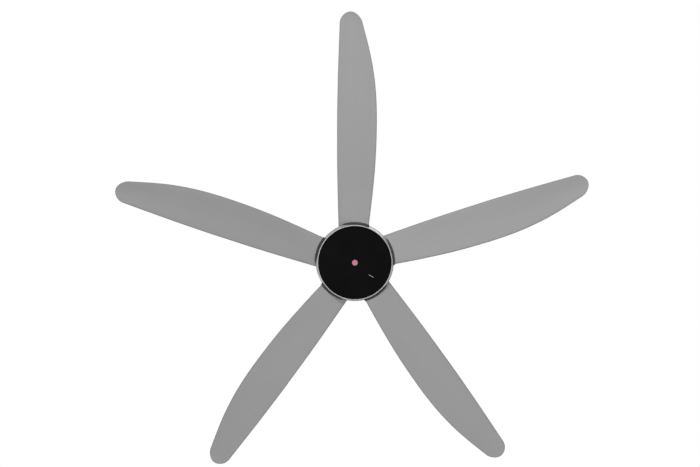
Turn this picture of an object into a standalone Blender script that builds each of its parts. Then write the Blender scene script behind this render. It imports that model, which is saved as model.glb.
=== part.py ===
"""Ceiling fan with five blades, hung from a ceiling bracket by a shackle and a short rod.

Metres, +Z up. The origin is the centre of the ceiling bracket's top face.
"""

import math

import bmesh
import bpy
from mathutils import Matrix, Vector

# Clearances shared by all pieces
FIT = 0.0003
RUNNING_GAP = 0.002
OVERRUN = 0.0015

# Ceiling bracket: a plate with two cheeks
PLATE_LENGTH = 0.084
PLATE_WIDTH = 0.044
BRACKET_SHEET = 0.003
JAW_WIDTH = 0.032
CHEEK_MARGIN = 0.011
PLATE_HEADROOM = 0.004
CEILING_SLOT_LENGTH = 0.014
CEILING_SLOT_RADIUS = 0.0033
CEILING_SLOT_INSET = 0.008
TERMINAL_LENGTH = 0.024
TERMINAL_DEPTH = 0.010
TERMINAL_HEIGHT = 0.010

# Bolts of the bracket and the shackle
BOLT_RADIUS = 0.003
BOLT_HEAD_RADIUS = 0.0058
BOLT_HEAD_HEIGHT = 0.004
NUT_HEIGHT = 0.0052
BOLT_TAIL = 0.007
COTTER_RADIUS = 0.0009
COTTER_LOOP_RADIUS = 0.0032
COTTER_LOOP_SHARE = 0.8

# Hanger roller and shackle
ROLLER_RADIUS = 0.014
ROLLER_FLANGE_RADIUS = 0.0175
STRAP_SHEET = 0.003
STRAP_WIDTH = 0.022
STRAP_END = 0.010
SHACKLE_REACH = 0.036

# Downrod, from the shackle bolt to the clevis pin
ROD_RADIUS = 0.01065
ROD_WALL = 0.0023
ROD_REACH = 0.190
ROD_END = 0.012
SPACER_RADIUS = 0.008
CABLE_RADIUS = 0.0023

# Canopy
CANOPY_RADIUS = 0.066
CANOPY_HEIGHT = 0.070
CANOPY_WALL = 0.0018
CANOPY_CEILING_GAP = 0.010
GROMMET_WALL = 0.0022
GROMMET_LIP = 0.0025
GROMMET_LIP_HEIGHT = 0.002

# Motor coupling, its pin and its cover
SLEEVE_WALL = 0.005
SLEEVE_MARGIN = 0.018
COUPLING_WEB = 0.014
FLANGE_RADIUS = 0.034
FLANGE_THICKNESS = 0.005
PIN_RADIUS = 0.003
PIN_HEAD_RADIUS = 0.005
PIN_HEAD_HEIGHT = 0.0025
PIN_TAIL = 0.006
SET_SCREW_RADIUS = 0.0025
SET_SCREW_DROP = 0.007
BELL_RADIUS = 0.046
BELL_HEIGHT = 0.052
BELL_WALL = 0.0018

# Upper housing, its bosses and the control board under them
HOUSING_TOP_RADIUS = 0.060
HOUSING_RADIUS = 0.1145
HOUSING_WALL = 0.002
HOUSING_SHOULDER = 0.034
BOSS_COUNT = 3
BOSS_RADIUS = 0.0045
BOSS_HEIGHT = 0.007
BOSS_CIRCLE = 0.026
SCREW_RADIUS = 0.002
SCREW_HEAD_RADIUS = 0.0038
SCREW_HEAD_HEIGHT = 0.0025
SCREW_BITE = 0.0045
BOARD_BORE = 0.014
BOARD_RADIUS = 0.048
BOARD_THICKNESS = 0.0016
CAPACITOR_RADIUS = 0.005
CAPACITOR_HEIGHT = 0.007
BOARD_HEADROOM = 0.006

# Shaft and ball bearings
SHAFT_RADIUS = 0.0075
SHAFT_STEP = 0.0015
SHAFT_BITE = 0.010
SHAFT_NUT_RADIUS = 0.0108
SHAFT_NUT_HEIGHT = 0.006
SHAFT_END = 0.002
BEARING_RADIUS = 0.0175
BEARING_WIDTH = 0.011
RACE_THICKNESS = 0.0031
BALL_COUNT = 8
CAGE_WIDTH = 0.0018
CAGE_WALL = 0.001

# Rotor shells and magnets
ROTOR_RADIUS = 0.0765
ROTOR_RIM = 0.005
ROTOR_WEB = 0.005
ROTOR_HEIGHT = 0.046
SEAT_WALL = 0.004
SEAT_LIP = 0.0015
MAGNET_THICKNESS = 0.005
MAGNET_HEIGHT = 0.020

# Stator core and winding
AIR_GAP = 0.0008
POLE_COUNT = 9
POLE_WIDTH = 0.010
POLE_TIP_DEPTH = 0.005
POLE_TIP_SHARE = 0.78
STACK_HEIGHT = 0.015
STATOR_HUB_RADIUS = 0.025
COIL_BUILD = 0.0022
LEAD_RING_WIDTH = 0.004

# Blade brackets: a level flange, a pitched wedge and studs
ARM_INNER = 0.044
ARM_STEP = 0.074
ARM_OUTER = 0.104
ARM_HALF_WIDTH = 0.028
ARM_FLANGE = 0.006
ARM_CENTRE = 0.010
STUD_RADIUS = 0.0025
STUD_REACH = 0.0055
FLANGE_STUD_INSET = 0.012
FLANGE_STUD_SPREAD = 0.016
WEDGE_STUD_INSET = 0.008
WEDGE_STUD_SPREAD = 0.018
NUT_CLEARANCE = 0.003

# Blades
BLADE_COUNT = 5
SWEEP_RADIUS = 0.750
BLADE_ROOT = 0.077
BLADE_ROOT_ROUND = 0.010
BLADE_HALF_CHORD = 0.0765
BLADE_THICKNESS = 0.006
BLADE_TIP_THICKNESS = 0.0045
BLADE_CAMBER = 0.004
BLADE_TIP_ROUND = 0.038
ROOT_PITCH = math.radians(12)
TIP_PITCH = math.radians(9)
# Place along the blade from hub to tip, then leading and trailing edge, as shares of the half chord
PLANFORM_SHARES = (
    (0.0, 0.635, 0.600),
    (0.15, 0.643, 0.770),
    (0.29, 0.640, 0.893),
    (0.43, 0.619, 0.960),
    (0.53, 0.600, 0.976),
    (0.62, 0.572, 0.953),
    (0.72, 0.536, 0.870),
    (0.81, 0.496, 0.739),
    (0.905, 0.453, 0.564),
    (1.0, 0.419, 0.413),
)
CAMBER_START_SHARE = 0.02
CAMBER_FULL_SHARE = 0.16
ROOT_NARROWING_SHARE = 0.16

# Lower cover, its posts and notches
COVER_RADIUS = 0.1183
COVER_WALL = 0.002
COVER_DEPTH = 0.021
BELT_LEAN = 0.0018
TUCK_RADIUS = 0.1135
LIP_BEVEL = 0.001
FLOOR = 0.0025
POST_RADIUS = 0.0055
POST_CIRCLE = 0.062
HEAD_RECESS = 0.003
NOTCH_SIDE = 0.0015
NOTCH_DROP = 0.004
# Height from the lip to the widest edge, then how much of the tuck is gone there
FLARE_SHARES = ((0.93, 0.60), (0.83, 0.36), (0.68, 0.16))

# Rubber dust ring inside the cover, over the blade roots
DUST_RING_GAP = 0.001
DUST_RING_WALL = 0.002
DUST_RING_RISE = 0.004

# Black disc with its badge and indicator bar
DISC_RADIUS = 0.1095
DISC_THICKNESS = 0.0027
DISC_BEVEL = 0.0006
INLAY_DEPTH = 0.0009
BADGE_RADIUS = 0.0085
BAR_LENGTH = 0.017
BAR_WIDTH = 0.0018
BAR_X = 0.048
BAR_Y = 0.041
BAR_ANGLE = math.radians(31)

# Facets of round pieces
FINE, MEDIUM, COARSE, SMALL, TINY = 48, 32, 20, 12, 8
TURN = 2 * math.pi

# Heights worked out from the ceiling down
strap_radius = ROLLER_RADIUS + FIT + STRAP_SHEET
bracket_bolt_z = -(BRACKET_SHEET + PLATE_HEADROOM + strap_radius)
cheek_bottom_z = bracket_bolt_z - CHEEK_MARGIN
shackle_bolt_z = bracket_bolt_z - SHACKLE_REACH
rod_top_z = shackle_bolt_z + ROD_END
pin_z = shackle_bolt_z - ROD_REACH
rod_bottom_z = pin_z - ROD_END
canopy_top_z = -CANOPY_CEILING_GAP
canopy_bottom_z = canopy_top_z - CANOPY_HEIGHT
sleeve_top_z = pin_z + SLEEVE_MARGIN
web_top_z = rod_bottom_z - FIT
flange_bottom_z = web_top_z - COUPLING_WEB
flange_top_z = flange_bottom_z + FLANGE_THICKNESS
housing_top_z = flange_bottom_z - FIT
ceiling_of_housing_z = housing_top_z - HOUSING_WALL
board_top_z = ceiling_of_housing_z - BOSS_HEIGHT - FIT
rotor_top_z = board_top_z - BOARD_THICKNESS - CAPACITOR_HEIGHT - BOARD_HEADROOM
rotor_middle_z = rotor_top_z - ROTOR_HEIGHT / 2
rotor_bottom_z = rotor_top_z - ROTOR_HEIGHT
arm_top_z = rotor_bottom_z - FIT
blade_half_rise = (BLADE_THICKNESS / 2 + FIT) / math.cos(ROOT_PITCH)
blade_z = arm_top_z - ARM_CENTRE - blade_half_rise
lead_root = BLADE_HALF_CHORD * PLANFORM_SHARES[0][1]
trail_root = BLADE_HALF_CHORD * PLANFORM_SHARES[0][2]
blade_top_z = blade_z + lead_root * math.sin(ROOT_PITCH) + BLADE_THICKNESS / 2
belt_top_z = blade_top_z
housing_bottom_z = belt_top_z + RUNNING_GAP
rim_z = blade_z - COVER_DEPTH
disc_top_z = rim_z + DISC_THICKNESS
floor_bottom_z = disc_top_z + FIT
floor_top_z = floor_bottom_z + FLOOR

# Radii worked out from the pieces that they fit
rod_bore = ROD_RADIUS - ROD_WALL
sleeve_bore = ROD_RADIUS + FIT
sleeve_radius = sleeve_bore + SLEEVE_WALL
cable_way = CABLE_RADIUS + FIT
seat_bore = BEARING_RADIUS + FIT
seat_radius = seat_bore + SEAT_WALL
inner_race = SHAFT_RADIUS + FIT + RACE_THICKNESS
outer_race = BEARING_RADIUS - RACE_THICKNESS
ball_circle = (inner_race + outer_race) / 2
ball_radius = (outer_race - inner_race) / 2 - FIT
rotor_bore = ROTOR_RADIUS - ROTOR_RIM
magnet_radius = rotor_bore - FIT
magnet_bore = magnet_radius - MAGNET_THICKNESS
stator_radius = magnet_bore - AIR_GAP
stator_bore = SHAFT_RADIUS + SHAFT_STEP + FIT
recess_radius = DISC_RADIUS + FIT
dust_ring_radius = TUCK_RADIUS - COVER_WALL - DUST_RING_GAP
canopy_bore = ROD_RADIUS + FIT + GROMMET_WALL
bell_bore = ROD_RADIUS + FIT


# Scene, collections and materials


def clear_scene():
    for obj in list(bpy.data.objects):
        bpy.data.objects.remove(obj, do_unlink=True)


def collection(name):
    made = bpy.data.collections.new(name)
    bpy.context.scene.collection.children.link(made)
    return made


def finish(name, colour, roughness, metallic=0.0):
    material = bpy.data.materials.new(name)
    material.use_nodes = True
    shader = material.node_tree.nodes["Principled BSDF"]
    shader.inputs["Base Color"].default_value = (*colour, 1.0)
    shader.inputs["Roughness"].default_value = roughness
    shader.inputs["Metallic"].default_value = metallic
    material.diffuse_color = (*colour, 1.0)
    return material


# Making, cutting and placing objects


def linked(obj, home):
    for owner in list(obj.users_collection):
        owner.objects.unlink(obj)
    home.objects.link(obj)
    return obj


def turned(profile, steps, closed=False):
    """A round solid from (radius, height) points that run down its outer side."""
    mesh = bpy.data.meshes.new("profile")
    points = [(radius, 0.0, height) for radius, height in profile]
    edges = [(i, i + 1) for i in range(len(points) - 1)]
    if closed:
        edges.append((len(points) - 1, 0))
    mesh.from_pydata(points, edges, [])
    obj = linked(bpy.data.objects.new("turned", mesh), cutters)
    screw = obj.modifiers.new("turn", "SCREW")
    screw.axis = "Z"
    screw.angle = TURN
    screw.steps = steps
    screw.render_steps = steps
    screw.use_merge_vertices = True
    screw.merge_threshold = 0.0001
    return obj


def ring(bore, radius, bottom, top, steps):
    return turned([(bore, top), (radius, top), (radius, bottom), (bore, bottom)], steps, closed=True)


def flat(outlines, thickness):
    """A flat plate from closed outlines in X and Y, half its thickness each side of Z zero."""
    curve = bpy.data.curves.new("outline", "CURVE")
    curve.dimensions = "2D"
    curve.fill_mode = "BOTH"
    curve.extrude = thickness / 2
    for outline in outlines:
        spline = curve.splines.new("POLY")
        spline.points.add(len(outline) - 1)
        for point, (x, y) in zip(spline.points, outline):
            point.co = (x, y, 0.0, 1.0)
        spline.use_cyclic_u = True
    return linked(bpy.data.objects.new("flat", curve), cutters)


def wire(points, radius):
    """A round wire along points, with filled ends."""
    curve = bpy.data.curves.new("wire", "CURVE")
    curve.dimensions = "3D"
    curve.bevel_depth = radius
    curve.bevel_resolution = 2
    curve.use_fill_caps = True
    spline = curve.splines.new("POLY")
    spline.points.add(len(points) - 1)
    for point, place in zip(spline.points, points):
        point.co = (*place, 1.0)
    return linked(bpy.data.objects.new("wire", curve), cutters)


def rod_along(axis, radius, start, end, place=(0.0, 0.0, 0.0), sides=SMALL):
    """A cylinder along X, Y or Z from start to end, its axis through place."""
    bpy.ops.mesh.primitive_cylinder_add(vertices=sides, radius=radius, depth=end - start)
    obj = linked(bpy.context.object, cutters)
    turn = {"X": Matrix.Rotation(TURN / 4, 4, "Y"), "Y": Matrix.Rotation(-TURN / 4, 4, "X"), "Z": Matrix()}
    way = {"X": Vector((1, 0, 0)), "Y": Vector((0, 1, 0)), "Z": Vector((0, 0, 1))}
    shift = Matrix.Translation(Vector(place) + way[axis] * (start + end) / 2)
    obj.data.transform(shift @ turn[axis])
    return obj


def block(low, high):
    """A box between two corners."""
    bpy.ops.mesh.primitive_cube_add(size=1)
    obj = linked(bpy.context.object, cutters)
    size = Vector(high) - Vector(low)
    middle = (Vector(high) + Vector(low)) / 2
    obj.data.transform(Matrix.Translation(middle) @ Matrix.Diagonal((*size, 1.0)))
    return obj


def moved(obj, matrix):
    """The same shape as a plain mesh, carried by a matrix."""
    mesh = baked(obj)
    mesh.transform(matrix)
    return linked(bpy.data.objects.new("moved", mesh), cutters)


def baked(obj):
    """The object's evaluated mesh, its own place applied; the object itself is removed."""
    graph = bpy.context.evaluated_depsgraph_get()
    mesh = bpy.data.meshes.new_from_object(obj.evaluated_get(graph))
    mesh.transform(obj.matrix_world)
    shape = bmesh.new()
    shape.from_mesh(mesh)
    bmesh.ops.remove_doubles(shape, verts=shape.verts, dist=FIT / 100)
    shape.to_mesh(mesh)
    shape.free()
    bpy.data.objects.remove(obj, do_unlink=True)
    return mesh


def combined(target, tools, operation):
    """The target joined with, or cut by, each tool in turn."""
    solid = linked(bpy.data.objects.new("solid", baked(target)), cutters)
    for tool in tools:
        tool = linked(bpy.data.objects.new("tool", baked(tool)), cutters)
        tool.hide_render = True
        tool.display_type = "WIRE"
        step = solid.modifiers.new(operation.lower(), "BOOLEAN")
        step.operation = operation
        step.solver = "EXACT"
        step.object = tool
        bpy.context.view_layer.update()
        mesh = baked(solid)
        bpy.data.objects.remove(tool, do_unlink=True)
        solid = linked(bpy.data.objects.new("solid", mesh), cutters)
    return solid


def cut(target, *tools):
    return combined(target, tools, "DIFFERENCE")


def join(target, *tools):
    return combined(target, tools, "UNION")


def group(*objects):
    """Separate shapes as one tool, so that one Boolean takes them all."""
    shape = bmesh.new()
    for obj in objects:
        mesh = baked(obj)
        shape.from_mesh(mesh)
        bpy.data.meshes.remove(mesh)
    mesh = bpy.data.meshes.new("group")
    shape.to_mesh(mesh)
    shape.free()
    return linked(bpy.data.objects.new("group", mesh), cutters)


def piece(name, shape, material, pivot, turn=0.0):
    """The named sub-part, its origin on its pivot's axis; shape is an object or a mesh used before."""
    mesh = baked(shape) if isinstance(shape, bpy.types.Object) else shape
    if not mesh.users:
        mesh.transform(Matrix.Translation(-pivot.matrix_world.translation))
        mesh.name = name
        mesh.materials.clear()
        mesh.materials.append(material)
        mesh.shade_smooth()
        mesh.set_sharp_from_angle(angle=math.radians(35))
    obj = bpy.data.objects.new(name, mesh)
    parts.objects.link(obj)
    obj.parent = pivot
    obj.rotation_euler.z = turn
    return obj


def pivot(name, height, parent=None):
    """An empty on a joint's axis."""
    empty = bpy.data.objects.new(name, None)
    parts.objects.link(empty)
    empty.empty_display_size = BRACKET_SHEET
    empty.parent = parent
    above = parent.matrix_world.translation.z if parent else 0.0
    empty.location.z = height - above
    bpy.context.view_layer.update()
    return empty


def circle(radius, count):
    return [(radius * math.cos(TURN * i / count), radius * math.sin(TURN * i / count)) for i in range(count)]


def around(radius, count, first=0.0):
    """Places spaced evenly on a circle, with the angle of each."""
    angles = [first + TURN * i / count for i in range(count)]
    return [(radius * math.cos(a), radius * math.sin(a), a) for a in angles]


# Bolts, nuts and cotters


def hex_bolt(axis, grip_start, grip_end, z):
    """A bolt whose head lies before grip_start, with a nut and a cotter hole past grip_end."""
    tip = grip_end + NUT_HEIGHT + BOLT_TAIL
    place = (0.0, 0.0, z)
    shank = rod_along(axis, BOLT_RADIUS, grip_start - FIT - BOLT_HEAD_HEIGHT / 2, tip, place, sides=SMALL)
    head_end = grip_start - FIT
    head = rod_along(axis, BOLT_HEAD_RADIUS, head_end - BOLT_HEAD_HEIGHT, head_end, place, sides=6)
    hole = rod_along("Z", COTTER_RADIUS + FIT, z - 2 * BOLT_RADIUS, z + 2 * BOLT_RADIUS, sides=TINY)
    across = cotter_place(grip_end)
    shift = (across, 0.0, 0.0) if axis == "X" else (0.0, across, 0.0)
    return cut(join(shank, head), moved(hole, Matrix.Translation(shift)))


def cotter_place(grip_end):
    return grip_end + NUT_HEIGHT + BOLT_TAIL / 2


def hex_nut(axis, grip_end, z):
    place = (0.0, 0.0, z)
    body = rod_along(axis, BOLT_HEAD_RADIUS, grip_end + FIT, grip_end + FIT + NUT_HEIGHT, place, sides=6)
    bore = rod_along(axis, BOLT_RADIUS + FIT, grip_end - OVERRUN, grip_end + NUT_HEIGHT + OVERRUN, place)
    return cut(body, bore)


def cotter(x, y, z, half_height, along):
    """A cotter clip: a leg down through the bolt and an open loop above it."""
    leg = [Vector((0, 0, -half_height)), Vector((0, 0, half_height))]
    loop = []
    for i in range(7):
        angle = -TURN / 4 + TURN * COTTER_LOOP_SHARE * i / 6
        rise = half_height + COTTER_LOOP_RADIUS * (1 + math.sin(angle))
        loop.append(Vector((0, COTTER_LOOP_RADIUS * math.cos(angle), rise)))
    points = leg + loop[1:]
    turn = Matrix.Rotation(TURN / 4, 4, "Z") if along == "Y" else Matrix()
    return wire([Matrix.Translation((x, y, z)) @ turn @ point for point in points], COTTER_RADIUS)


# Hanging parts


def ceiling_bracket():
    inner = JAW_WIDTH / 2
    outer = inner + BRACKET_SHEET
    reach, half = PLATE_LENGTH / 2, PLATE_WIDTH / 2
    plate = block((-reach, -half, -BRACKET_SHEET), (reach, half, 0.0))
    top = -BRACKET_SHEET / 2
    cheeks = group(block((-outer, -half, cheek_bottom_z), (-inner, half, top)),
                   block((inner, -half, cheek_bottom_z), (outer, half, top)))
    bolt_hole = rod_along("X", BOLT_RADIUS + FIT, -reach, reach, (0.0, 0.0, bracket_bolt_z))
    slot_x = reach - CEILING_SLOT_INSET
    run = CEILING_SLOT_LENGTH / 2 - CEILING_SLOT_RADIUS
    slots = []
    for side in (-1, 1):
        rounded = around(CEILING_SLOT_RADIUS, SMALL, TURN / SMALL / 2)
        outline = [(side * slot_x + x, y + math.copysign(run, y)) for x, y, _ in rounded]
        plate_hole = flat([outline], BRACKET_SHEET + 2 * OVERRUN)
        slots.append(moved(plate_hole, Matrix.Translation((0.0, 0.0, -BRACKET_SHEET / 2))))
    return cut(join(plate, cheeks), bolt_hole, *slots)


def terminal_block():
    """A wiring block on the bracket's cheek, with three wire holes."""
    face = -JAW_WIDTH / 2 - BRACKET_SHEET - FIT
    top = -BRACKET_SHEET - FIT
    half = TERMINAL_LENGTH / 2
    body = block((face - TERMINAL_DEPTH, -half, top - TERMINAL_HEIGHT), (face, half, top))
    holes = []
    for i in (-1, 0, 1):
        place = (face - TERMINAL_DEPTH / 2, i * TERMINAL_LENGTH / 3, 0.0)
        hole_radius = TERMINAL_DEPTH / 5
        holes.append(rod_along("Z", hole_radius, top - TERMINAL_HEIGHT - OVERRUN, top + OVERRUN, place, TINY))
    return cut(body, group(*holes))


def hanger_roller():
    half = JAW_WIDTH / 2 - FIT
    groove = STRAP_WIDTH / 2 + FIT
    bore = BOLT_RADIUS + FIT
    profile = [(bore, half), (ROLLER_FLANGE_RADIUS, half), (ROLLER_FLANGE_RADIUS, groove)]
    profile += [(ROLLER_RADIUS, groove), (ROLLER_RADIUS, -groove), (ROLLER_FLANGE_RADIUS, -groove)]
    profile += [(ROLLER_FLANGE_RADIUS, -half), (bore, -half)]
    lie = Matrix.Translation((0.0, 0.0, bracket_bolt_z)) @ Matrix.Rotation(TURN / 4, 4, "Y")
    return moved(turned(profile, COARSE, closed=True), lie)


def shackle():
    """A strap over the roller whose two legs carry the shackle bolt."""
    inner = ROLLER_RADIUS + FIT
    outer = inner + STRAP_SHEET
    foot = shackle_bolt_z - STRAP_END
    count = 12
    arc = [TURN / 2 * i / count for i in range(count + 1)]
    over = [(outer * math.cos(a), bracket_bolt_z + outer * math.sin(a)) for a in arc]
    under = [(inner * math.cos(a), bracket_bolt_z + inner * math.sin(a)) for a in reversed(arc)]
    outline = over + [(-outer, foot), (-inner, foot)] + under + [(inner, foot), (outer, foot)]
    stand = Matrix.Rotation(TURN / 4, 4, "Z") @ Matrix.Rotation(TURN / 4, 4, "X")
    strap = moved(flat([outline], STRAP_WIDTH), stand)
    hole = rod_along("Y", BOLT_RADIUS + FIT, -outer - OVERRUN, outer + OVERRUN, (0.0, 0.0, shackle_bolt_z))
    return cut(strap, hole)


def rod_spacer(side):
    """A ring that fills the room between the rod and one leg of the shackle."""
    near = ROD_RADIUS + FIT
    far = ROLLER_RADIUS
    start, end = (near, far) if side > 0 else (-far, -near)
    place = (0.0, 0.0, shackle_bolt_z)
    body = rod_along("Y", SPACER_RADIUS, start, end, place, sides=COARSE)
    return cut(body, rod_along("Y", BOLT_RADIUS + FIT, start - OVERRUN, end + OVERRUN, place))


def downrod():
    tube = ring(rod_bore, ROD_RADIUS, rod_bottom_z, rod_top_z, COARSE)
    across = ROD_RADIUS + OVERRUN
    top_hole = rod_along("Y", BOLT_RADIUS + FIT, -across, across, (0.0, 0.0, shackle_bolt_z))
    pin_hole = rod_along("X", PIN_RADIUS + FIT, -across, across, (0.0, 0.0, pin_z))
    return cut(tube, top_hole, pin_hole)


def canopy():
    """A bell with an open top rim and a hole for the grommet at its foot."""
    shares = ((1.0, 0.0), (1.0, 0.36), (0.94, 0.62), (0.78, 0.84), (0.50, 0.97))
    width = CANOPY_RADIUS
    outer = [(width * r, canopy_top_z - CANOPY_HEIGHT * z) for r, z in shares]
    outer += [(canopy_bore + GROMMET_LIP, canopy_bottom_z), (canopy_bore, canopy_bottom_z)]
    inner = [(radius, height) for radius, height in shell_inside(outer, CANOPY_WALL)]
    return turned(outer + inner, MEDIUM, closed=True)


def shell_inside(outer, wall):
    """The inner side of a bell whose outer side runs down and in, from its foot back to its rim."""
    inside = []
    for i, (radius, height) in enumerate(outer):
        before = Vector(outer[max(i - 1, 0)])
        after = Vector(outer[min(i + 1, len(outer) - 1)])
        run = (after - before).normalized()
        normal = Vector((run.y, -run.x))
        inside.append((radius + wall * normal.x, height + wall * normal.y))
    inside[0] = (outer[0][0] - wall, outer[0][1])
    inside[-1] = (outer[-1][0], outer[-1][1] + wall)
    return list(reversed(inside))


def canopy_grommet():
    bore = ROD_RADIUS + FIT
    waist = canopy_bore - FIT
    lip = canopy_bore + GROMMET_LIP
    top = canopy_bottom_z + CANOPY_WALL + FIT
    bottom = canopy_bottom_z - FIT
    profile = [(bore, top + GROMMET_LIP_HEIGHT), (waist, top + GROMMET_LIP_HEIGHT), (lip, top), (waist, top)]
    profile += [(waist, bottom), (lip, bottom), (waist, bottom - GROMMET_LIP_HEIGHT)]
    profile += [(bore, bottom - GROMMET_LIP_HEIGHT)]
    return turned(profile, COARSE, closed=True)


# Motor head, still parts


def motor_coupling():
    """A sleeve for the rod, a web for the shaft and a flange for the housing."""
    thread = SHAFT_RADIUS + FIT
    shaft_top = flange_bottom_z + SHAFT_BITE + FIT
    profile = [(sleeve_bore, sleeve_top_z), (sleeve_radius, sleeve_top_z), (sleeve_radius, flange_top_z)]
    profile += [(FLANGE_RADIUS, flange_top_z), (FLANGE_RADIUS, flange_bottom_z), (thread, flange_bottom_z)]
    profile += [(thread, shaft_top), (cable_way, shaft_top), (cable_way, web_top_z), (sleeve_bore, web_top_z)]
    body = turned(profile, COARSE, closed=True)
    reach = sleeve_radius + OVERRUN
    pin_hole = rod_along("X", PIN_RADIUS + FIT, -reach, reach, (0.0, 0.0, pin_z))
    screw_z = sleeve_top_z - SET_SCREW_DROP
    screw_hole = rod_along("Y", SET_SCREW_RADIUS + FIT, sleeve_bore / 2, reach, (0.0, 0.0, screw_z), TINY)
    holes = []
    for x, y, _ in around(BOSS_CIRCLE, BOSS_COUNT):
        low, high = flange_bottom_z - OVERRUN, flange_top_z + OVERRUN
        holes.append(rod_along("Z", SCREW_RADIUS + FIT, low, high, (x, y, 0.0), TINY))
    return cut(body, pin_hole, screw_hole, group(*holes))


def set_screw():
    place = (0.0, 0.0, sleeve_top_z - SET_SCREW_DROP)
    return rod_along("Y", SET_SCREW_RADIUS, ROD_RADIUS + FIT, sleeve_radius, place, sides=SMALL)


def clevis_pin():
    place = (0.0, 0.0, pin_z)
    start = -sleeve_radius - FIT
    tip = sleeve_radius + PIN_TAIL
    shank = rod_along("X", PIN_RADIUS, start - PIN_HEAD_HEIGHT / 2, tip, place)
    head = rod_along("X", PIN_HEAD_RADIUS, start - PIN_HEAD_HEIGHT, start, place)
    hole_place = (pin_cotter_x(), 0.0, 0.0)
    hole = rod_along("Z", COTTER_RADIUS + FIT, pin_z - 2 * PIN_RADIUS, pin_z + 2 * PIN_RADIUS, hole_place,
                     TINY)
    return cut(join(shank, head), hole)


def pin_cotter_x():
    return sleeve_radius + PIN_TAIL / 2


def coupling_cover():
    """A bell over the coupling that rests on the housing and can be lifted up the rod."""
    foot = housing_top_z + FIT
    shares = ((0.46, 1.0), (0.64, 0.92), (0.76, 0.70), (0.83, 0.42), (1.0, 0.0))
    outer = [(bell_bore, foot + BELL_HEIGHT)]
    outer += [(BELL_RADIUS * r, foot + BELL_HEIGHT * z) for r, z in shares]
    inner = [(radius - BELL_WALL, height) for radius, height in outer[2:]]
    inner.reverse()
    inner += [(BELL_RADIUS * shares[0][0] - BELL_WALL, foot + BELL_HEIGHT - BELL_WALL)]
    inner += [(bell_bore, foot + BELL_HEIGHT - BELL_WALL)]
    return turned(outer + inner, MEDIUM, closed=True)


def upper_housing():
    """A still cover over the rotor, hung under the coupling's flange by three bosses."""
    shoulder = HOUSING_RADIUS - HOUSING_TOP_RADIUS
    outer = [(FLANGE_RADIUS / 2, housing_top_z), (HOUSING_TOP_RADIUS, housing_top_z)]
    steps = 3
    for i in range(1, steps + 1):
        angle = TURN / 4 * i / steps
        radius = HOUSING_TOP_RADIUS + shoulder * math.sin(angle)
        outer.append((radius, housing_top_z - HOUSING_SHOULDER * (1 - math.cos(angle))))
    outer.append((HOUSING_RADIUS, housing_bottom_z))
    inner = [(HOUSING_RADIUS - HOUSING_WALL, housing_bottom_z)]
    for radius, height in reversed(outer[1:-1]):
        lean = (radius - HOUSING_TOP_RADIUS) / shoulder
        drop = HOUSING_WALL * math.sqrt(1 - lean * lean)
        inner.append((radius - HOUSING_WALL * lean, height - drop))
    inner.append((FLANGE_RADIUS / 2, ceiling_of_housing_z))
    shell = turned(outer + inner, FINE, closed=True)
    bosses, holes = [], []
    for x, y, _ in around(BOSS_CIRCLE, BOSS_COUNT):
        low = ceiling_of_housing_z - BOSS_HEIGHT
        bosses.append(rod_along("Z", BOSS_RADIUS, low, housing_top_z - HOUSING_WALL / 2, (x, y, 0.0)))
        depth = ceiling_of_housing_z - SCREW_BITE - FIT
        holes.append(rod_along("Z", SCREW_RADIUS + FIT, depth, housing_top_z + OVERRUN, (x, y, 0.0), TINY))
    return cut(join(shell, group(*bosses)), group(*holes))


def screw_up(x, y, head_face, tip):
    """A screw whose head lies on the head_face side, away from its tip."""
    sense = 1 if tip > head_face else -1
    head_far = head_face - sense * SCREW_HEAD_HEIGHT
    start, end = sorted((head_face - sense * SCREW_HEAD_HEIGHT / 2, tip))
    shank = rod_along("Z", SCREW_RADIUS, start, end, (x, y, 0.0), TINY)
    head = rod_along("Z", SCREW_HEAD_RADIUS, *sorted((head_far, head_face)), (x, y, 0.0))
    return join(shank, head)


def control_board():
    """A ring-shaped board with capacitors and a power module on its lower side."""
    bottom = board_top_z - BOARD_THICKNESS
    board = ring(BOARD_BORE, BOARD_RADIUS, bottom, board_top_z, MEDIUM)
    middle = BOARD_RADIUS - 2 * CAPACITOR_RADIUS
    parts_on = []
    for x, y, angle in around(middle, 6, TURN / 12)[:4]:
        low = bottom - CAPACITOR_HEIGHT
        parts_on.append(rod_along("Z", CAPACITOR_RADIUS, low, bottom + BOARD_THICKNESS / 2, (x, y, 0.0),
                                  TINY))
    half = CAPACITOR_RADIUS
    low = (-middle - half, -2 * half, bottom - CAPACITOR_HEIGHT / 2)
    turn = Matrix.Rotation(TURN / 3 + TURN / 24, 4, "Z")
    module = moved(block(low, (-middle + half, 2 * half, bottom + BOARD_THICKNESS / 2)), turn)
    return join(board, group(*parts_on), module)


def bearing_top_z(upper):
    """The top face of a bearing, against the lip of its seat."""
    if upper:
        return rotor_top_z - SEAT_LIP - FIT
    return rotor_bottom_z + SEAT_LIP + FIT + BEARING_WIDTH


def shaft():
    """A hollow shaft with a shoulder between its bearings."""
    shoulder = SHAFT_RADIUS + SHAFT_STEP
    top = flange_bottom_z + SHAFT_BITE
    step_top = bearing_top_z(True) - BEARING_WIDTH - FIT
    step_bottom = bearing_top_z(False) + FIT
    nut_bottom = bearing_top_z(False) - BEARING_WIDTH - FIT - SHAFT_NUT_HEIGHT
    profile = [(cable_way, top), (SHAFT_RADIUS, top), (SHAFT_RADIUS, step_top), (shoulder, step_top)]
    profile += [(shoulder, step_bottom), (SHAFT_RADIUS, step_bottom), (SHAFT_RADIUS, nut_bottom - SHAFT_END)]
    profile += [(cable_way, nut_bottom - SHAFT_END)]
    return turned(profile, COARSE, closed=True)


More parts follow.
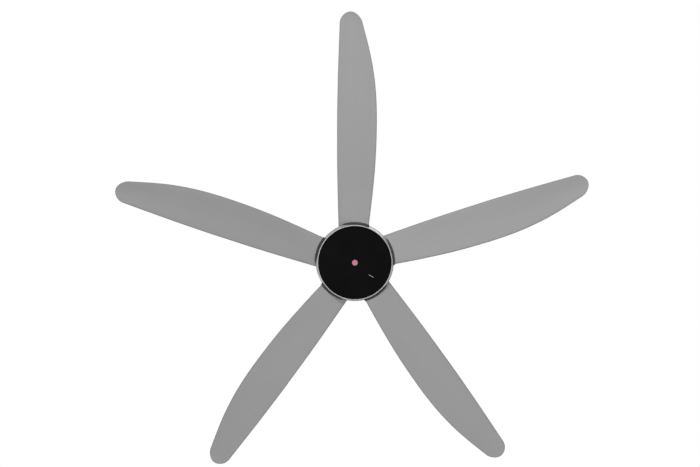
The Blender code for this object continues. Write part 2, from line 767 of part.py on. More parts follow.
def shaft_nut():
    top = bearing_top_z(False) - BEARING_WIDTH - FIT
    bottom = top - SHAFT_NUT_HEIGHT
    body = rod_along("Z", SHAFT_NUT_RADIUS, bottom, top, sides=6)
    bore = ring_cutter(SHAFT_RADIUS + FIT, bottom - OVERRUN, top + OVERRUN)
    return cut(body, bore)


def ring_cutter(radius, bottom, top):
    return rod_along("Z", radius, bottom, top, sides=COARSE)


def stator_core():
    """A laminated hub with poles whose tips spread along the air gap."""
    outline = []
    neck = stator_radius - POLE_TIP_DEPTH
    for i in range(POLE_COUNT):
        middle = TURN * i / POLE_COUNT
        side = math.asin(POLE_WIDTH / 2 / STATOR_HUB_RADIUS)
        neck_side = math.asin(POLE_WIDTH / 2 / neck)
        tip = TURN / POLE_COUNT / 2 * POLE_TIP_SHARE
        face = [(stator_radius, middle + tip * k) for k in (-1, -0.5, 0, 0.5, 1)]
        root = [(STATOR_HUB_RADIUS, middle - side), (neck, middle - neck_side)]
        back = [(neck, middle + neck_side), (STATOR_HUB_RADIUS, middle + side)]
        shoulder_radius = stator_radius - POLE_TIP_DEPTH / 2
        left = [(shoulder_radius, middle - tip)]
        right = [(shoulder_radius, middle + tip)]
        for radius, angle in root + left + face + right + back:
            outline.append((radius * math.cos(angle), radius * math.sin(angle)))
    plate = flat([outline, circle(stator_bore, 24)], STACK_HEIGHT)
    return moved(plate, Matrix.Translation((0.0, 0.0, rotor_middle_z)))


def stator_winding():
    """A coil round each pole, all joined by one lead ring on top."""
    inner = STATOR_HUB_RADIUS + 2 * FIT
    outer = stator_radius - POLE_TIP_DEPTH - FIT
    half = POLE_WIDTH / 2 + FIT
    rise = STACK_HEIGHT / 2 + FIT
    coils, poles = [], []
    for _, _, angle in around(outer, POLE_COUNT):
        turn = Matrix.Translation((0.0, 0.0, rotor_middle_z)) @ Matrix.Rotation(angle, 4, "Z")
        coil = block((inner, -half - COIL_BUILD, -rise - COIL_BUILD),
                     (outer, half + COIL_BUILD, rise + COIL_BUILD))
        pole = block((inner - OVERRUN, -half, -rise), (outer + OVERRUN, half, rise))
        coils.append(moved(coil, turn))
        poles.append(moved(pole, turn))
    ring_base = rotor_middle_z + rise + COIL_BUILD / 2
    leads = ring(outer - 2 * LEAD_RING_WIDTH, outer - LEAD_RING_WIDTH, ring_base,
                 ring_base + COIL_BUILD, MEDIUM)
    return cut(join(group(*coils), leads), group(*poles))


# Bearings


def race(upper, inner):
    top = bearing_top_z(upper)
    bore, radius = (SHAFT_RADIUS + FIT, inner_race) if inner else (outer_race, BEARING_RADIUS)
    return ring(bore, radius, top - BEARING_WIDTH, top, COARSE)


def ball_cage(upper):
    """The balls of a bearing, held by one ring."""
    middle = bearing_top_z(upper) - BEARING_WIDTH / 2
    half = CAGE_WIDTH / 2
    cage = ring(ball_circle - CAGE_WALL / 2, ball_circle + CAGE_WALL / 2, middle - half, middle + half,
                2 * BALL_COUNT)
    balls = []
    for x, y, _ in around(ball_circle, BALL_COUNT):
        bpy.ops.mesh.primitive_uv_sphere_add(segments=6, ring_count=4, radius=ball_radius)
        ball = linked(bpy.context.object, cutters)
        balls.append(moved(ball, Matrix.Translation((x, y, middle))))
    return join(cage, group(*balls))


# Rotor


def shell_profile():
    """The upper rotor shell in section: rim, web and bearing seat."""
    lip_radius = outer_race
    web_under = rotor_top_z - ROTOR_WEB
    lip_under = rotor_top_z - SEAT_LIP
    seat_bottom = bearing_top_z(True) - BEARING_WIDTH
    split = rotor_middle_z + FIT / 2
    profile = [(lip_radius, rotor_top_z), (ROTOR_RADIUS, rotor_top_z), (ROTOR_RADIUS, split),
               (rotor_bore, split)]
    profile += [(rotor_bore, web_under), (seat_radius, web_under), (seat_radius, seat_bottom)]
    profile += [(seat_bore, seat_bottom), (seat_bore, lip_under), (lip_radius, lip_under)]
    return profile


def rotor_lower_shell():
    """The mirrored shell, with studs for the blade brackets and holes for the cover screws."""
    mirrored = [(radius, 2 * rotor_middle_z - height) for radius, height in shell_profile()]
    body = turned(list(reversed(mirrored)), MEDIUM, closed=True)
    studs = []
    for x, y in flange_stud_places():
        low = arm_top_z - ARM_FLANGE - STUD_REACH
        studs.append(rod_along("Z", STUD_RADIUS, low, rotor_bottom_z + ROTOR_WEB / 2, (x, y, 0.0), TINY))
    holes = []
    for x, y, _ in post_places():
        low, high = rotor_bottom_z - OVERRUN, rotor_bottom_z + ROTOR_WEB + OVERRUN
        holes.append(rod_along("Z", SCREW_RADIUS + FIT, low, high, (x, y, 0.0), TINY))
    return cut(join(body, group(*studs)), group(*holes))


def blade_angles():
    """The first blade points to -Y."""
    return [-TURN / 4 + TURN * i / BLADE_COUNT for i in range(BLADE_COUNT)]


def post_places():
    first = blade_angles()[0] + TURN / BLADE_COUNT / 2
    return around(POST_CIRCLE, BLADE_COUNT, first)


def flange_stud_places():
    """Two studs under each blade bracket's level flange."""
    places = []
    for angle in blade_angles():
        for side in (-1, 1):
            spot = Vector((ARM_INNER + FLANGE_STUD_INSET, side * FLANGE_STUD_SPREAD))
            spot.rotate(Matrix.Rotation(angle, 2))
            places.append((spot.x, spot.y))
    return places


def wedge_stud_places():
    """Three studs under the pitched wedge, as (along, across) from the fan's axis."""
    near = ARM_STEP + WEDGE_STUD_INSET + STUD_RADIUS
    far = ARM_OUTER - WEDGE_STUD_INSET
    return [(near, -WEDGE_STUD_SPREAD), (near, WEDGE_STUD_SPREAD), (far, 0.0)]


def pitched():
    """From the blade's own frame to the fan's: pitch about its long axis, leading edge up."""
    return Matrix.Translation((0.0, 0.0, blade_z)) @ Matrix.Rotation(-ROOT_PITCH, 4, "X")


def blade_bracket():
    """A cast arm along +X: a level flange under the rotor and a pitched wedge over the blade."""
    slope = math.tan(ROOT_PITCH)
    low = arm_top_z - ARM_CENTRE
    fall = ARM_HALF_WIDTH * slope
    outline = [(-ARM_HALF_WIDTH, arm_top_z), (-ARM_HALF_WIDTH, low + fall)]
    outline += [(ARM_HALF_WIDTH, low - fall), (ARM_HALF_WIDTH, arm_top_z)]
    stand = Matrix.Rotation(TURN / 4, 4, "Z") @ Matrix.Rotation(TURN / 4, 4, "X")
    middle = Matrix.Translation(((ARM_STEP + ARM_OUTER) / 2, 0.0, 0.0))
    wedge = moved(flat([outline], ARM_OUTER - ARM_STEP), middle @ stand)
    flange_half = ARM_HALF_WIDTH - OVERRUN
    level_low = (ARM_INNER, -flange_half, arm_top_z - ARM_FLANGE)
    level = block(level_low, (ARM_STEP + OVERRUN, flange_half, arm_top_z - FIT))
    studs, holes = [], []
    reach = BLADE_THICKNESS / 2 + STUD_REACH
    for x, y in wedge_stud_places():
        stud = rod_along("Z", STUD_RADIUS, -reach, BLADE_THICKNESS / 2 + OVERRUN, (x, y, 0.0), TINY)
        studs.append(moved(stud, pitched()))
    for side in (-1, 1):
        place = (ARM_INNER + FLANGE_STUD_INSET, side * FLANGE_STUD_SPREAD, 0.0)
        start = arm_top_z - ARM_FLANGE - OVERRUN
        holes.append(rod_along("Z", STUD_RADIUS + FIT, start, arm_top_z + OVERRUN, place, TINY))
    return cut(join(level, wedge, group(*studs)), group(*holes))


# Blades


def smooth(rows, column, share):
    """A smooth value between the rows of a table of shares."""
    last = len(rows) - 2
    i = min(max(k for k in range(last + 1) if rows[k][0] <= share or k == 0), last)
    x0, x1 = rows[i][0], rows[i + 1][0]
    y0, y1 = rows[i][column], rows[i + 1][column]
    slope0 = slope_at(rows, column, i)
    slope1 = slope_at(rows, column, i + 1)
    width = x1 - x0
    t = (share - x0) / width
    keep = 2 * t**3 - 3 * t**2 + 1
    rise0 = (t**3 - 2 * t**2 + t) * width * slope0
    rise1 = (t**3 - t**2) * width * slope1
    return keep * y0 + rise0 + (1 - keep) * y1 + rise1


def slope_at(rows, column, i):
    low = rows[max(i - 1, 0)]
    high = rows[min(i + 1, len(rows) - 1)]
    return (high[column] - low[column]) / (high[0] - low[0])


def blade_stations():
    """Radii of the blade's sections, closer together at the root corner and the tip."""
    root = [BLADE_ROOT + BLADE_ROOT_ROUND * k for k in (0.0, 0.3, 1.0)]
    body_end = SWEEP_RADIUS - BLADE_TIP_ROUND
    count = 8
    body = [COVER_RADIUS + (body_end - COVER_RADIUS) * i / count for i in range(count + 1)]
    tip = [body_end + BLADE_TIP_ROUND * math.sin(TURN / 4 * k) for k in (0.3, 0.55, 0.75, 0.9, 0.97)]
    return root + body + tip


def blade_section(radius):
    """The ring of points of one section, from the leading edge over the top and back below."""
    share = min(max((radius - COVER_RADIUS) / (SWEEP_RADIUS - COVER_RADIUS), 0.0), 1.0)
    lead = smooth(PLANFORM_SHARES, 1, share) * BLADE_HALF_CHORD
    trail = smooth(PLANFORM_SHARES, 2, share) * BLADE_HALF_CHORD
    past = max(radius - (SWEEP_RADIUS - BLADE_TIP_ROUND), 0.0) / BLADE_TIP_ROUND
    corner = min((radius - BLADE_ROOT) / BLADE_ROOT_ROUND, 1.0)
    root_cut = ROOT_NARROWING_SHARE * (1 - math.sqrt(1 - (1 - corner) ** 2))
    narrow = math.sqrt(1 - past * past) * (1 - root_cut)
    thin = BLADE_THICKNESS + (BLADE_TIP_THICKNESS - BLADE_THICKNESS) * share
    bow = (share - CAMBER_START_SHARE) / (CAMBER_FULL_SHARE - CAMBER_START_SHARE)
    bow = min(max(bow, 0.0), 1.0)
    camber = BLADE_CAMBER * bow * narrow
    pitch = ROOT_PITCH + (TIP_PITCH - ROOT_PITCH) * share
    ways = [-math.cos(TURN / 2 * i / 6) for i in range(7)]
    top, bottom = [], []
    for way in ways:
        across = (-lead + (1 + way) / 2 * (lead + trail)) * narrow
        half = thin / 2 * math.sqrt(1 - way**6)
        middle = camber * (1 - way * way)
        top.append((across, middle + half))
        bottom.append((across, middle - half))
    section = top + bottom[-2:0:-1]
    turn_cos, turn_sin = math.cos(pitch), math.sin(pitch)
    points = []
    for across, up in section:
        points.append((radius, across * turn_cos + up * turn_sin, up * turn_cos - across * turn_sin))
    return points


def blade():
    """A lofted blade along +X, with holes at its root for the bracket's studs."""
    shape = bmesh.new()
    rings = []
    for radius in blade_stations():
        rings.append([shape.verts.new(point) for point in blade_section(radius)])
    for near, far in zip(rings, rings[1:]):
        for i in range(len(near)):
            j = (i + 1) % len(near)
            shape.faces.new((near[i], near[j], far[j], far[i]))
    shape.faces.new(reversed(rings[0]))
    shape.faces.new(rings[-1])
    bmesh.ops.recalc_face_normals(shape, faces=shape.faces)
    mesh = bpy.data.meshes.new("blade")
    shape.to_mesh(mesh)
    shape.free()
    loft = linked(bpy.data.objects.new("loft", mesh), cutters)
    solid = moved(loft, Matrix.Translation((0.0, 0.0, blade_z)))
    holes = []
    for x, y in wedge_stud_places():
        hole = rod_along("Z", STUD_RADIUS + FIT, -BLADE_THICKNESS, BLADE_THICKNESS, (x, y, 0.0), TINY)
        holes.append(moved(hole, pitched()))
    return cut(solid, group(*holes))


# Lower cover and disc


def cover_outside():
    """The cover's outer side from its belt down to its lip."""
    tuck = COVER_RADIUS - TUCK_RADIUS
    points = [(COVER_RADIUS - BELT_LEAN, belt_top_z), (COVER_RADIUS, blade_z)]
    for up, left in FLARE_SHARES:
        points.append((TUCK_RADIUS + tuck * left, rim_z + COVER_DEPTH * up))
    return points


def lower_cover():
    """A pan with a recess for the disc, posts for its screws and a notch for each blade."""
    outer = cover_outside()
    outer += [(TUCK_RADIUS, rim_z + LIP_BEVEL), (TUCK_RADIUS - LIP_BEVEL, rim_z)]
    outer += [(recess_radius + LIP_BEVEL / 2, rim_z), (recess_radius, rim_z + LIP_BEVEL / 2)]
    outer += [(recess_radius, floor_bottom_z), (0.0, floor_bottom_z)]
    inner = [(0.0, floor_top_z), (TUCK_RADIUS - COVER_WALL, floor_top_z)]
    for radius, height in reversed(cover_outside()[:-1]):
        if height > floor_top_z + FIT:
            inner.append((radius - COVER_WALL, height))
    body = turned(inner + outer, FINE)
    posts, holes, recesses = [], [], []
    for x, y, _ in post_places():
        place = (x, y, 0.0)
        top = arm_top_z
        posts.append(rod_along("Z", POST_RADIUS, floor_bottom_z + FLOOR / 2, top, place))
        holes.append(rod_along("Z", SCREW_RADIUS + FIT, rim_z, top + OVERRUN, place, TINY))
        recess_top = floor_bottom_z + HEAD_RECESS
        recesses.append(rod_along("Z", SCREW_HEAD_RADIUS + FIT, rim_z, recess_top, place))
    notches = []
    for angle in blade_angles():
        low = -BLADE_THICKNESS / 2 - NOTCH_DROP
        start = (TUCK_RADIUS * math.cos(math.asin(lead_root / TUCK_RADIUS))) - 3 * COVER_WALL
        corner_low = (start, -lead_root - NOTCH_SIDE, low)
        corner_high = (COVER_RADIUS + OVERRUN, trail_root + NOTCH_SIDE, lead_root)
        notch = moved(block(corner_low, corner_high), Matrix.Rotation(angle, 4, "Z") @ pitched())
        notches.append(notch)
    return cut(join(body, group(*posts)), group(*notches), group(*holes), group(*recesses))


def dust_ring():
    """A band that closes the notches from inside, with a saddle over each blade root."""
    bore = dust_ring_radius - DUST_RING_WALL
    bottom = blade_z - trail_root * math.sin(ROOT_PITCH)
    band = ring(bore, dust_ring_radius, bottom, belt_top_z + DUST_RING_RISE, FINE)
    saddles = []
    for angle in blade_angles():
        start = bore - lead_root / 2
        corner_low = (start, -lead_root - NOTCH_SIDE, -lead_root)
        corner_high = (dust_ring_radius + OVERRUN, trail_root + NOTCH_SIDE, BLADE_THICKNESS / 2 + FIT)
        saddles.append(moved(block(corner_low, corner_high), Matrix.Rotation(angle, 4, "Z") @ pitched()))
    return cut(band, group(*saddles))


def cover_disc():
    """A glossy disc with a round seat for the badge and a slot for the bar."""
    bottom = rim_z
    profile = [(0.0, disc_top_z), (DISC_RADIUS, disc_top_z), (DISC_RADIUS, bottom + DISC_BEVEL)]
    profile += [(DISC_RADIUS - DISC_BEVEL, bottom), (0.0, bottom)]
    seat = rod_along("Z", BADGE_RADIUS + FIT, bottom - OVERRUN, bottom + INLAY_DEPTH, sides=COARSE)
    half_length, half_width = BAR_LENGTH / 2 + FIT, BAR_WIDTH / 2 + FIT
    slot = block((-half_length, -half_width, bottom - OVERRUN),
                 (half_length, half_width, bottom + INLAY_DEPTH))
    return cut(turned(profile, FINE), group(seat, moved(slot, bar_place())))


def bar_place():
    return Matrix.Translation((BAR_X, BAR_Y, 0.0)) @ Matrix.Rotation(BAR_ANGLE, 4, "Z")


def centre_badge():
    """A plain round badge, blank, set into the disc."""
    top = rim_z + INLAY_DEPTH - FIT
    profile = [(0.0, top), (BADGE_RADIUS, top), (BADGE_RADIUS, rim_z + DISC_BEVEL / 2)]
    profile += [(BADGE_RADIUS - DISC_BEVEL / 2, rim_z), (0.0, rim_z)]
    return turned(profile, COARSE)


def indicator_bar():
    """A short plain bar set into the disc."""
    top = rim_z + INLAY_DEPTH - FIT
    half_length, half_width = BAR_LENGTH / 2, BAR_WIDTH / 2
    return moved(block((-half_length, -half_width, rim_z), (half_length, half_width, top)), bar_place())


# Cable route


def cable_knots():
    """Places on the cable, which comes in beside the shackle bolt, passes the pin and ends in the shaft."""
    bolt_lane = BOLT_RADIUS + FIT + CABLE_RADIUS
    pin_lane = PIN_RADIUS + FIT + CABLE_RADIUS
    return [
        (bolt_lane, 0.0, rod_top_z),
        (bolt_lane, 0.0, shackle_bolt_z - 2 * BOLT_RADIUS),
        (0.0, 0.0, (shackle_bolt_z + pin_z) / 2),
        (0.0, pin_lane, pin_z + 2 * PIN_RADIUS),
        (0.0, pin_lane, pin_z - PIN_RADIUS),
        (0.0, 0.0, rod_bottom_z),
        (0.0, 0.0, flange_bottom_z),
        (0.0, 0.0, rotor_top_z),
    ]


def cable_route():
    """A smooth run of points through the knots of the cable."""
    knots = [Vector(knot) for knot in cable_knots()]
    points = []
    for i in range(len(knots) - 1):
        before, start = knots[max(i - 1, 0)], knots[i]
        end, after = knots[i + 1], knots[min(i + 2, len(knots) - 1)]
        for k in range(2):
            t = k / 2
            points.append(along_curve(before, start, end, after, t))
    points.append(knots[-1])
    return points


def along_curve(before, start, end, after, t):
    """A point between start and end on a curve with upright tangents."""
    rise = Vector((0.0, 0.0, (end - start).z))
    keep = 2 * t**3 - 3 * t**2 + 1
    bend = (t**3 - 2 * t**2 + t) + (t**3 - t**2)
    return start * keep + end * (1 - keep) + rise * bend


# Building the fan


def build_hanger(ceiling, sway):
    grip = JAW_WIDTH / 2 + BRACKET_SHEET
    piece("ceiling_bracket", ceiling_bracket(), steel, ceiling)
    piece("terminal_block", terminal_block(), nylon, ceiling)
    piece("bracket_bolt", hex_bolt("X", -grip, grip, bracket_bolt_z), zinc, ceiling)
    piece("bracket_nut", hex_nut("X", grip, bracket_bolt_z), zinc, ceiling)
    x = cotter_place(grip)
    piece("bracket_cotter", cotter(x, 0.0, bracket_bolt_z, 2 * BOLT_RADIUS, "X"), zinc, ceiling)
    piece("hanger_roller", hanger_roller(), rubber, ceiling)
    grip = strap_radius
    piece("shackle", shackle(), steel, sway)
    piece("shackle_bolt", hex_bolt("Y", -grip, grip, shackle_bolt_z), zinc, sway)
    piece("shackle_nut", hex_nut("Y", grip, shackle_bolt_z), zinc, sway)
    y = cotter_place(grip)
    piece("shackle_cotter", cotter(0.0, y, shackle_bolt_z, 2 * BOLT_RADIUS, "Y"), zinc, sway)


def build_rod(swing, slide, lift):
    piece("downrod", downrod(), silver, swing)
    piece("rod_spacer_front", rod_spacer(-1), nylon, swing)
    piece("rod_spacer_back", rod_spacer(1), nylon, swing)
    piece("supply_cable", wire(cable_route(), CABLE_RADIUS), cable_grey, swing)
    piece("canopy", canopy(), silver, slide)
    piece("canopy_grommet", canopy_grommet(), rubber, slide)
    piece("coupling_cover", coupling_cover(), silver, lift)


def build_still_parts(swing):
    piece("motor_coupling", motor_coupling(), steel, swing)
    piece("set_screw", set_screw(), zinc, swing)
    piece("clevis_pin", clevis_pin(), zinc, swing)
    clip = cotter(pin_cotter_x(), 0.0, pin_z, 2 * PIN_RADIUS, "X")
    piece("clevis_cotter", clip, zinc, swing)
    piece("upper_housing", upper_housing(), silver, swing)
    for i, (x, y, _) in enumerate(around(BOSS_CIRCLE, BOSS_COUNT), 1):
        screw = screw_up(x, y, flange_top_z + FIT, ceiling_of_housing_z - SCREW_BITE)
        piece(f"housing_screw_{i}", screw, zinc, swing)
    piece("control_board", control_board(), board_green, swing)
    piece("shaft", shaft(), steel, swing)
    piece("shaft_nut", shaft_nut(), zinc, swing)
    piece("stator_core", stator_core(), lamination, swing)
    piece("stator_winding", stator_winding(), copper, swing)
    piece("upper_bearing_inner_ring", race(True, True), bearing_steel, swing)
    piece("lower_bearing_inner_ring", race(False, True), bearing_steel, swing)


def build_rotor(spin):
    piece("upper_bearing_outer_ring", race(True, False), bearing_steel, spin)
    piece("lower_bearing_outer_ring", race(False, False), bearing_steel, spin)
    piece("rotor_upper_shell", turned(shell_profile(), MEDIUM, closed=True), aluminium, spin)
    piece("rotor_lower_shell", rotor_lower_shell(), aluminium, spin)
    half = MAGNET_HEIGHT / 2
    magnets = ring(magnet_bore, magnet_radius, rotor_middle_z - half, rotor_middle_z + half, MEDIUM)
    piece("magnet_ring", magnets, ferrite, spin)
    piece("dust_ring", dust_ring(), rubber, spin)
    piece("lower_cover", lower_cover(), silver, spin)
    piece("cover_disc", cover_disc(), gloss_black, spin)
    piece("centre_badge", centre_badge(), badge_pink, spin)
    piece("indicator_bar", indicator_bar(), pale_grey, spin)
    bracket_mesh = None
    blade_mesh = None
    for i, angle in enumerate(blade_angles(), 1):
        made = piece(f"blade_bracket_{i}", bracket_mesh or blade_bracket(), aluminium, spin, angle)
        bracket_mesh = made.data
        made = piece(f"blade_{i}", blade_mesh or blade(), silver, spin, angle)
        blade_mesh = made.data
    for i, (x, y, _) in enumerate(post_places(), 1):
        head_face = floor_bottom_z + HEAD_RECESS - FIT
        screw = screw_up(x, y, head_face, rotor_bottom_z + ROTOR_WEB - FIT)
        piece(f"cover_screw_{i}", screw, zinc, spin)


def build_cages(upper_spin, lower_spin):
    piece("upper_ball_cage", ball_cage(True), bearing_steel, upper_spin)
    piece("lower_ball_cage", ball_cage(False), bearing_steel, lower_spin)


clear_scene()
parts = collection("ceiling_fan")
cutters = collection("cutters")

silver = finish("silver_paint", (0.33, 0.33, 0.34), 0.45, 0.3)
gloss_black = finish("gloss_black", (0.005, 0.005, 0.005), 0.08)
badge_pink = finish("badge_pink", (0.60, 0.25, 0.28), 0.35)
pale_grey = finish("pale_grey", (0.40, 0.40, 0.40), 0.5)
steel = finish("steel", (0.45, 0.45, 0.46), 0.4, 0.9)
zinc = finish("zinc", (0.60, 0.60, 0.58), 0.35, 0.9)
aluminium = finish("cast_aluminium", (0.50, 0.50, 0.51), 0.5, 0.8)
bearing_steel = finish("bearing_steel", (0.62, 0.62, 0.64), 0.15, 1.0)
lamination = finish("lamination", (0.25, 0.25, 0.27), 0.5, 0.7)
copper = finish("copper", (0.60, 0.26, 0.12), 0.35, 0.9)
ferrite = finish("ferrite", (0.03, 0.03, 0.035), 0.6)
board_green = finish("board_green", (0.02, 0.16, 0.08), 0.5)
nylon = finish("nylon", (0.75, 0.74, 0.70), 0.5)
rubber = finish("rubber", (0.02, 0.02, 0.02), 0.8)
cable_grey = finish("cable_grey", (0.30, 0.30, 0.30), 0.6)

ceiling_pivot = pivot("ceiling", 0.0)
sway_pivot = pivot("shackle_swing_axis", bracket_bolt_z, ceiling_pivot)
swing_pivot = pivot("rod_swing_axis", shackle_bolt_z, sway_pivot)
slide_pivot = pivot("canopy_slide_axis", canopy_bottom_z, swing_pivot)
lift_pivot = pivot("cover_lift_axis", housing_top_z, swing_pivot)
spin_pivot = pivot("rotor_spin_axis", rotor_middle_z, swing_pivot)
upper_cage_pivot = pivot("upper_cage_axis", rotor_top_z, swing_pivot)
lower_cage_pivot = pivot("lower_cage_axis", rotor_bottom_z, swing_pivot)

build_hanger(ceiling_pivot, sway_pivot)
build_rod(swing_pivot, slide_pivot, lift_pivot)
build_still_parts(swing_pivot)
build_rotor(spin_pivot)
build_cages(upper_cage_pivot, lower_cage_pivot)
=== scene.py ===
"""Ceiling fan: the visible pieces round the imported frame, their finishes, the camera and the light."""

import math
from functools import partialmethod

import bmesh
import bpy
from bpy.props import FloatProperty, FloatVectorProperty, IntProperty, PointerProperty
from mathutils import Matrix, Quaternion, Vector


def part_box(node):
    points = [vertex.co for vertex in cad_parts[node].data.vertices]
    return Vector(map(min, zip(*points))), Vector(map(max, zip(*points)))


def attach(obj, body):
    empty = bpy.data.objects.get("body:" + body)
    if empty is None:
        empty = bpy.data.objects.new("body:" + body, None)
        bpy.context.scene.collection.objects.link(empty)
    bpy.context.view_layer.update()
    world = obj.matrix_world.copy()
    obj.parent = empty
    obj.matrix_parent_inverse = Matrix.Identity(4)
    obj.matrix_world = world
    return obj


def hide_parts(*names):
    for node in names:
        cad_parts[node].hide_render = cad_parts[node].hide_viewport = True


bl_info = {
    "name": "Ceiling fan pieces",
    "version": (1, 0, 0),
    "blender": (4, 5, 0),
    "location": "3D View > Sidebar > Ceiling fan",
    "description": "Makes the visible pieces of a five-bladed ceiling fan, their finishes and a stage",
    "category": "Object",
}

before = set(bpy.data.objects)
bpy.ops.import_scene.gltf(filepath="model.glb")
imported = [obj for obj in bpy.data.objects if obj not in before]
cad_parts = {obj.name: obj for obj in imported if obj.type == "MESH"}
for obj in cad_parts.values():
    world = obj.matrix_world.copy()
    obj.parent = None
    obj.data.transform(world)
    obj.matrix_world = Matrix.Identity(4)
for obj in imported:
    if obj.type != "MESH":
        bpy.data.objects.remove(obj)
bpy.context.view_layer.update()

TURN = 2 * math.pi
FIT = 0.0003

# Turns for a shape that is made on Z: to lie along X or Y, to stand across X, and to hang upside down
LIE_ALONG = {"X": Matrix.Rotation(TURN / 4, 4, "Y"), "Y": Matrix.Rotation(-TURN / 4, 4, "X")}
STAND = Matrix.Rotation(TURN / 4, 4, "Z") @ Matrix.Rotation(TURN / 4, 4, "X")
FLIP = Matrix.Rotation(TURN / 2, 4, "X")


def low_of(node):
    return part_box(node)[0]


def high_of(node):
    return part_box(node)[1]


def middle_of(node):
    return (low_of(node) + high_of(node)) / 2


def at(x=0.0, y=0.0, z=0.0):
    return Matrix.Translation((x, y, z))


def polar(node):
    """A node's distance from the fan's axis and its angle round it."""
    place = middle_of(node)
    return math.hypot(place.x, place.y), math.atan2(place.y, place.x)


# Settings that a user would change


def length(name, value, note):
    return FloatProperty(name=name, description=note, default=value, min=0.0, unit="LENGTH", precision=4)


def angle(name, degrees, note):
    return FloatProperty(name=name, description=note, default=math.radians(degrees), subtype="ANGLE")


def power(name, value, note):
    return FloatProperty(name=name, description=note, default=value, min=0.0, unit="POWER")


def number(name, value, note):
    return FloatProperty(name=name, description=note, default=value)


def colour(name, value, note):
    return FloatVectorProperty(name=name, description=note, default=value, size=3, min=0, max=1,
                               subtype="COLOR")


class FanBladeSettings(bpy.types.PropertyGroup):
    """Sizes and finish of the blades."""

    count: IntProperty(name="Blades", description="Number of blades round the hub", default=5, min=3, max=8)
    sweep: length("Sweep radius", 0.7492, "From the fan's axis to the tip of a blade")
    root: length("Root radius", 0.077, "From the fan's axis to the inner end of a blade")
    half_chord: length("Half chord", 0.0765, "Size that the outline's shares are taken of")
    thickness: length("Thickness", 0.006, "Thickness of a blade at its root")
    tip_thickness: length("Tip thickness", 0.0045, "Thickness of a blade near its tip")
    camber: length("Camber", 0.004, "Rise of the blade's middle over its edges")
    tip_round: length("Tip rounding", 0.032, "Length over which the tip closes")
    root_pitch: angle("Root pitch", 12, "Pitch of the blade at the hub")
    tip_pitch: angle("Tip pitch", 9, "Pitch of the blade at its tip")
    paint: colour("Blade paint", (0.305, 0.305, 0.308), "Satin silver grey of the blades")
    # Painted shade: this darker tone along the blades' rounded edges and round their tips stands for the
    # shade that falls there
    edge: colour("Edge tone", (0.180, 0.180, 0.182), "Darker tone along the blades' edges")
    # Painted shade: the dark liners stand for the shaded gap in each notch and the cover's shadow on the
    # blade roots
    liner: colour("Liner", (0.045, 0.045, 0.046), "Dark liner between blade and cover")


class FanHubSettings(bpy.types.PropertyGroup):
    """Sizes and finish of the lower cover and the disc."""

    radius: length("Cover radius", 0.1183, "Widest radius of the lower cover")
    wall: length("Cover wall", 0.002, "Wall of the lower cover")
    depth: length("Cover depth", 0.021, "From the widest edge down to the lip")
    tuck: length("Tucked radius", 0.1135, "Outer radius of the cover just above its lip")
    lean: length("Belt lean", 0.0018, "How far the belt leans in towards its top")
    disc: length("Disc radius", 0.1103, "Radius of the black disc")
    notch_side: length("Notch side gap", 0.0015, "Gap between a blade's edge and its notch")
    notch_drop: length("Notch drop", 0.004, "Gap between a blade's underside and its notch")
    silver: colour("Cover silver", (0.375, 0.375, 0.375), "Bright satin silver of the lower cover")
    black: colour("Disc black", (0.0035, 0.0036, 0.0035), "Glossy black of the disc")
    badge: colour("Badge pink", (0.56, 0.21, 0.25), "Muted pink enamel of the plain badge")
    bar: colour("Bar grey", (0.30, 0.30, 0.30), "Pale grey of the indicator bar")


class FanHangerSettings(bpy.types.PropertyGroup):
    """Sizes and finish of the rod, the canopy and the hanging parts."""

    rod: length("Rod radius", 0.01065, "Outer radius of the downrod")
    rod_wall: length("Rod wall", 0.0023, "Wall of the downrod")
    canopy_wall: length("Canopy wall", 0.0018, "Wall of the canopy")
    silver: colour("Metal paint", (0.33, 0.33, 0.335), "Satin silver paint of housing, rod and canopy")
    steel: colour("Steel", (0.42, 0.42, 0.43), "Plated sheet steel of bracket and shackle")
    zinc: colour("Zinc", (0.58, 0.58, 0.56), "Zinc plating of bolts, nuts and pins")


class FanStageSettings(bpy.types.PropertyGroup):
    """Camera and light."""

    distance: length("Camera distance", 3.201, "From the disc to the camera")
    tilt: angle("Camera tilt", 4.0, "Angle between the view and the fan's axis")
    bearing: angle("Camera bearing", 94.18, "Picture direction towards which the camera is moved")
    roll: angle("Camera roll", 0.998, "Turn of the picture about the view")
    lens: number("Lens", 54.645, "Focal length in millimetres on a 36 mm sensor")
    shift_across: number("Shift across", -0.0473, "Lens shift to the right, in widths")
    shift_up: number("Shift up", 0.0469, "Lens shift upwards, in widths")
    key: power("Key light", 98, "Power of the key light below the fan, at the picture's top")
    left: power("Left light", 63, "Power of the light below the fan, at the picture's left")
    fill: power("Fill light", 64, "Power of the soft light below the fan, at the picture's lower right")
    top: power("Top light", 110, "Power of the soft light above the fan")
    side: power("Side light", 45, "Power of the soft light beside the fan")


# Node trees


class Field:
    """A value inside a node tree that can be added to, multiplied and so on."""

    def __init__(self, tree, socket):
        self.tree, self.socket = tree, socket

    def maths(self, kind, *others):
        node = self.tree.nodes.new("ShaderNodeMath")
        node.operation = kind
        for slot, value in zip(node.inputs, (self, *others)):
            feed(self.tree, slot, value)
        return Field(self.tree, node.outputs[0])

    __add__ = partialmethod(maths, "ADD")
    __sub__ = partialmethod(maths, "SUBTRACT")
    __mul__ = partialmethod(maths, "MULTIPLY")
    __truediv__ = partialmethod(maths, "DIVIDE")
    __pow__ = partialmethod(maths, "POWER")
    sine = partialmethod(maths, "SINE")
    cosine = partialmethod(maths, "COSINE")
    below = partialmethod(maths, "MINIMUM")

    def __rsub__(self, other):
        return self * -1.0 + other

    def root(self):
        return self.maths("MAXIMUM", 0.0).maths("SQRT")

    def clamped(self, least=0.0):
        return self.maths("MAXIMUM", least).below(1.0)


def feed(tree, slot, value):
    """Links a field or socket into a slot, or sets a plain value there."""
    if isinstance(value, Field):
        tree.links.new(value.socket, slot)
    elif isinstance(value, bpy.types.NodeSocket):
        tree.links.new(value, slot)
    else:
        slot.default_value = value


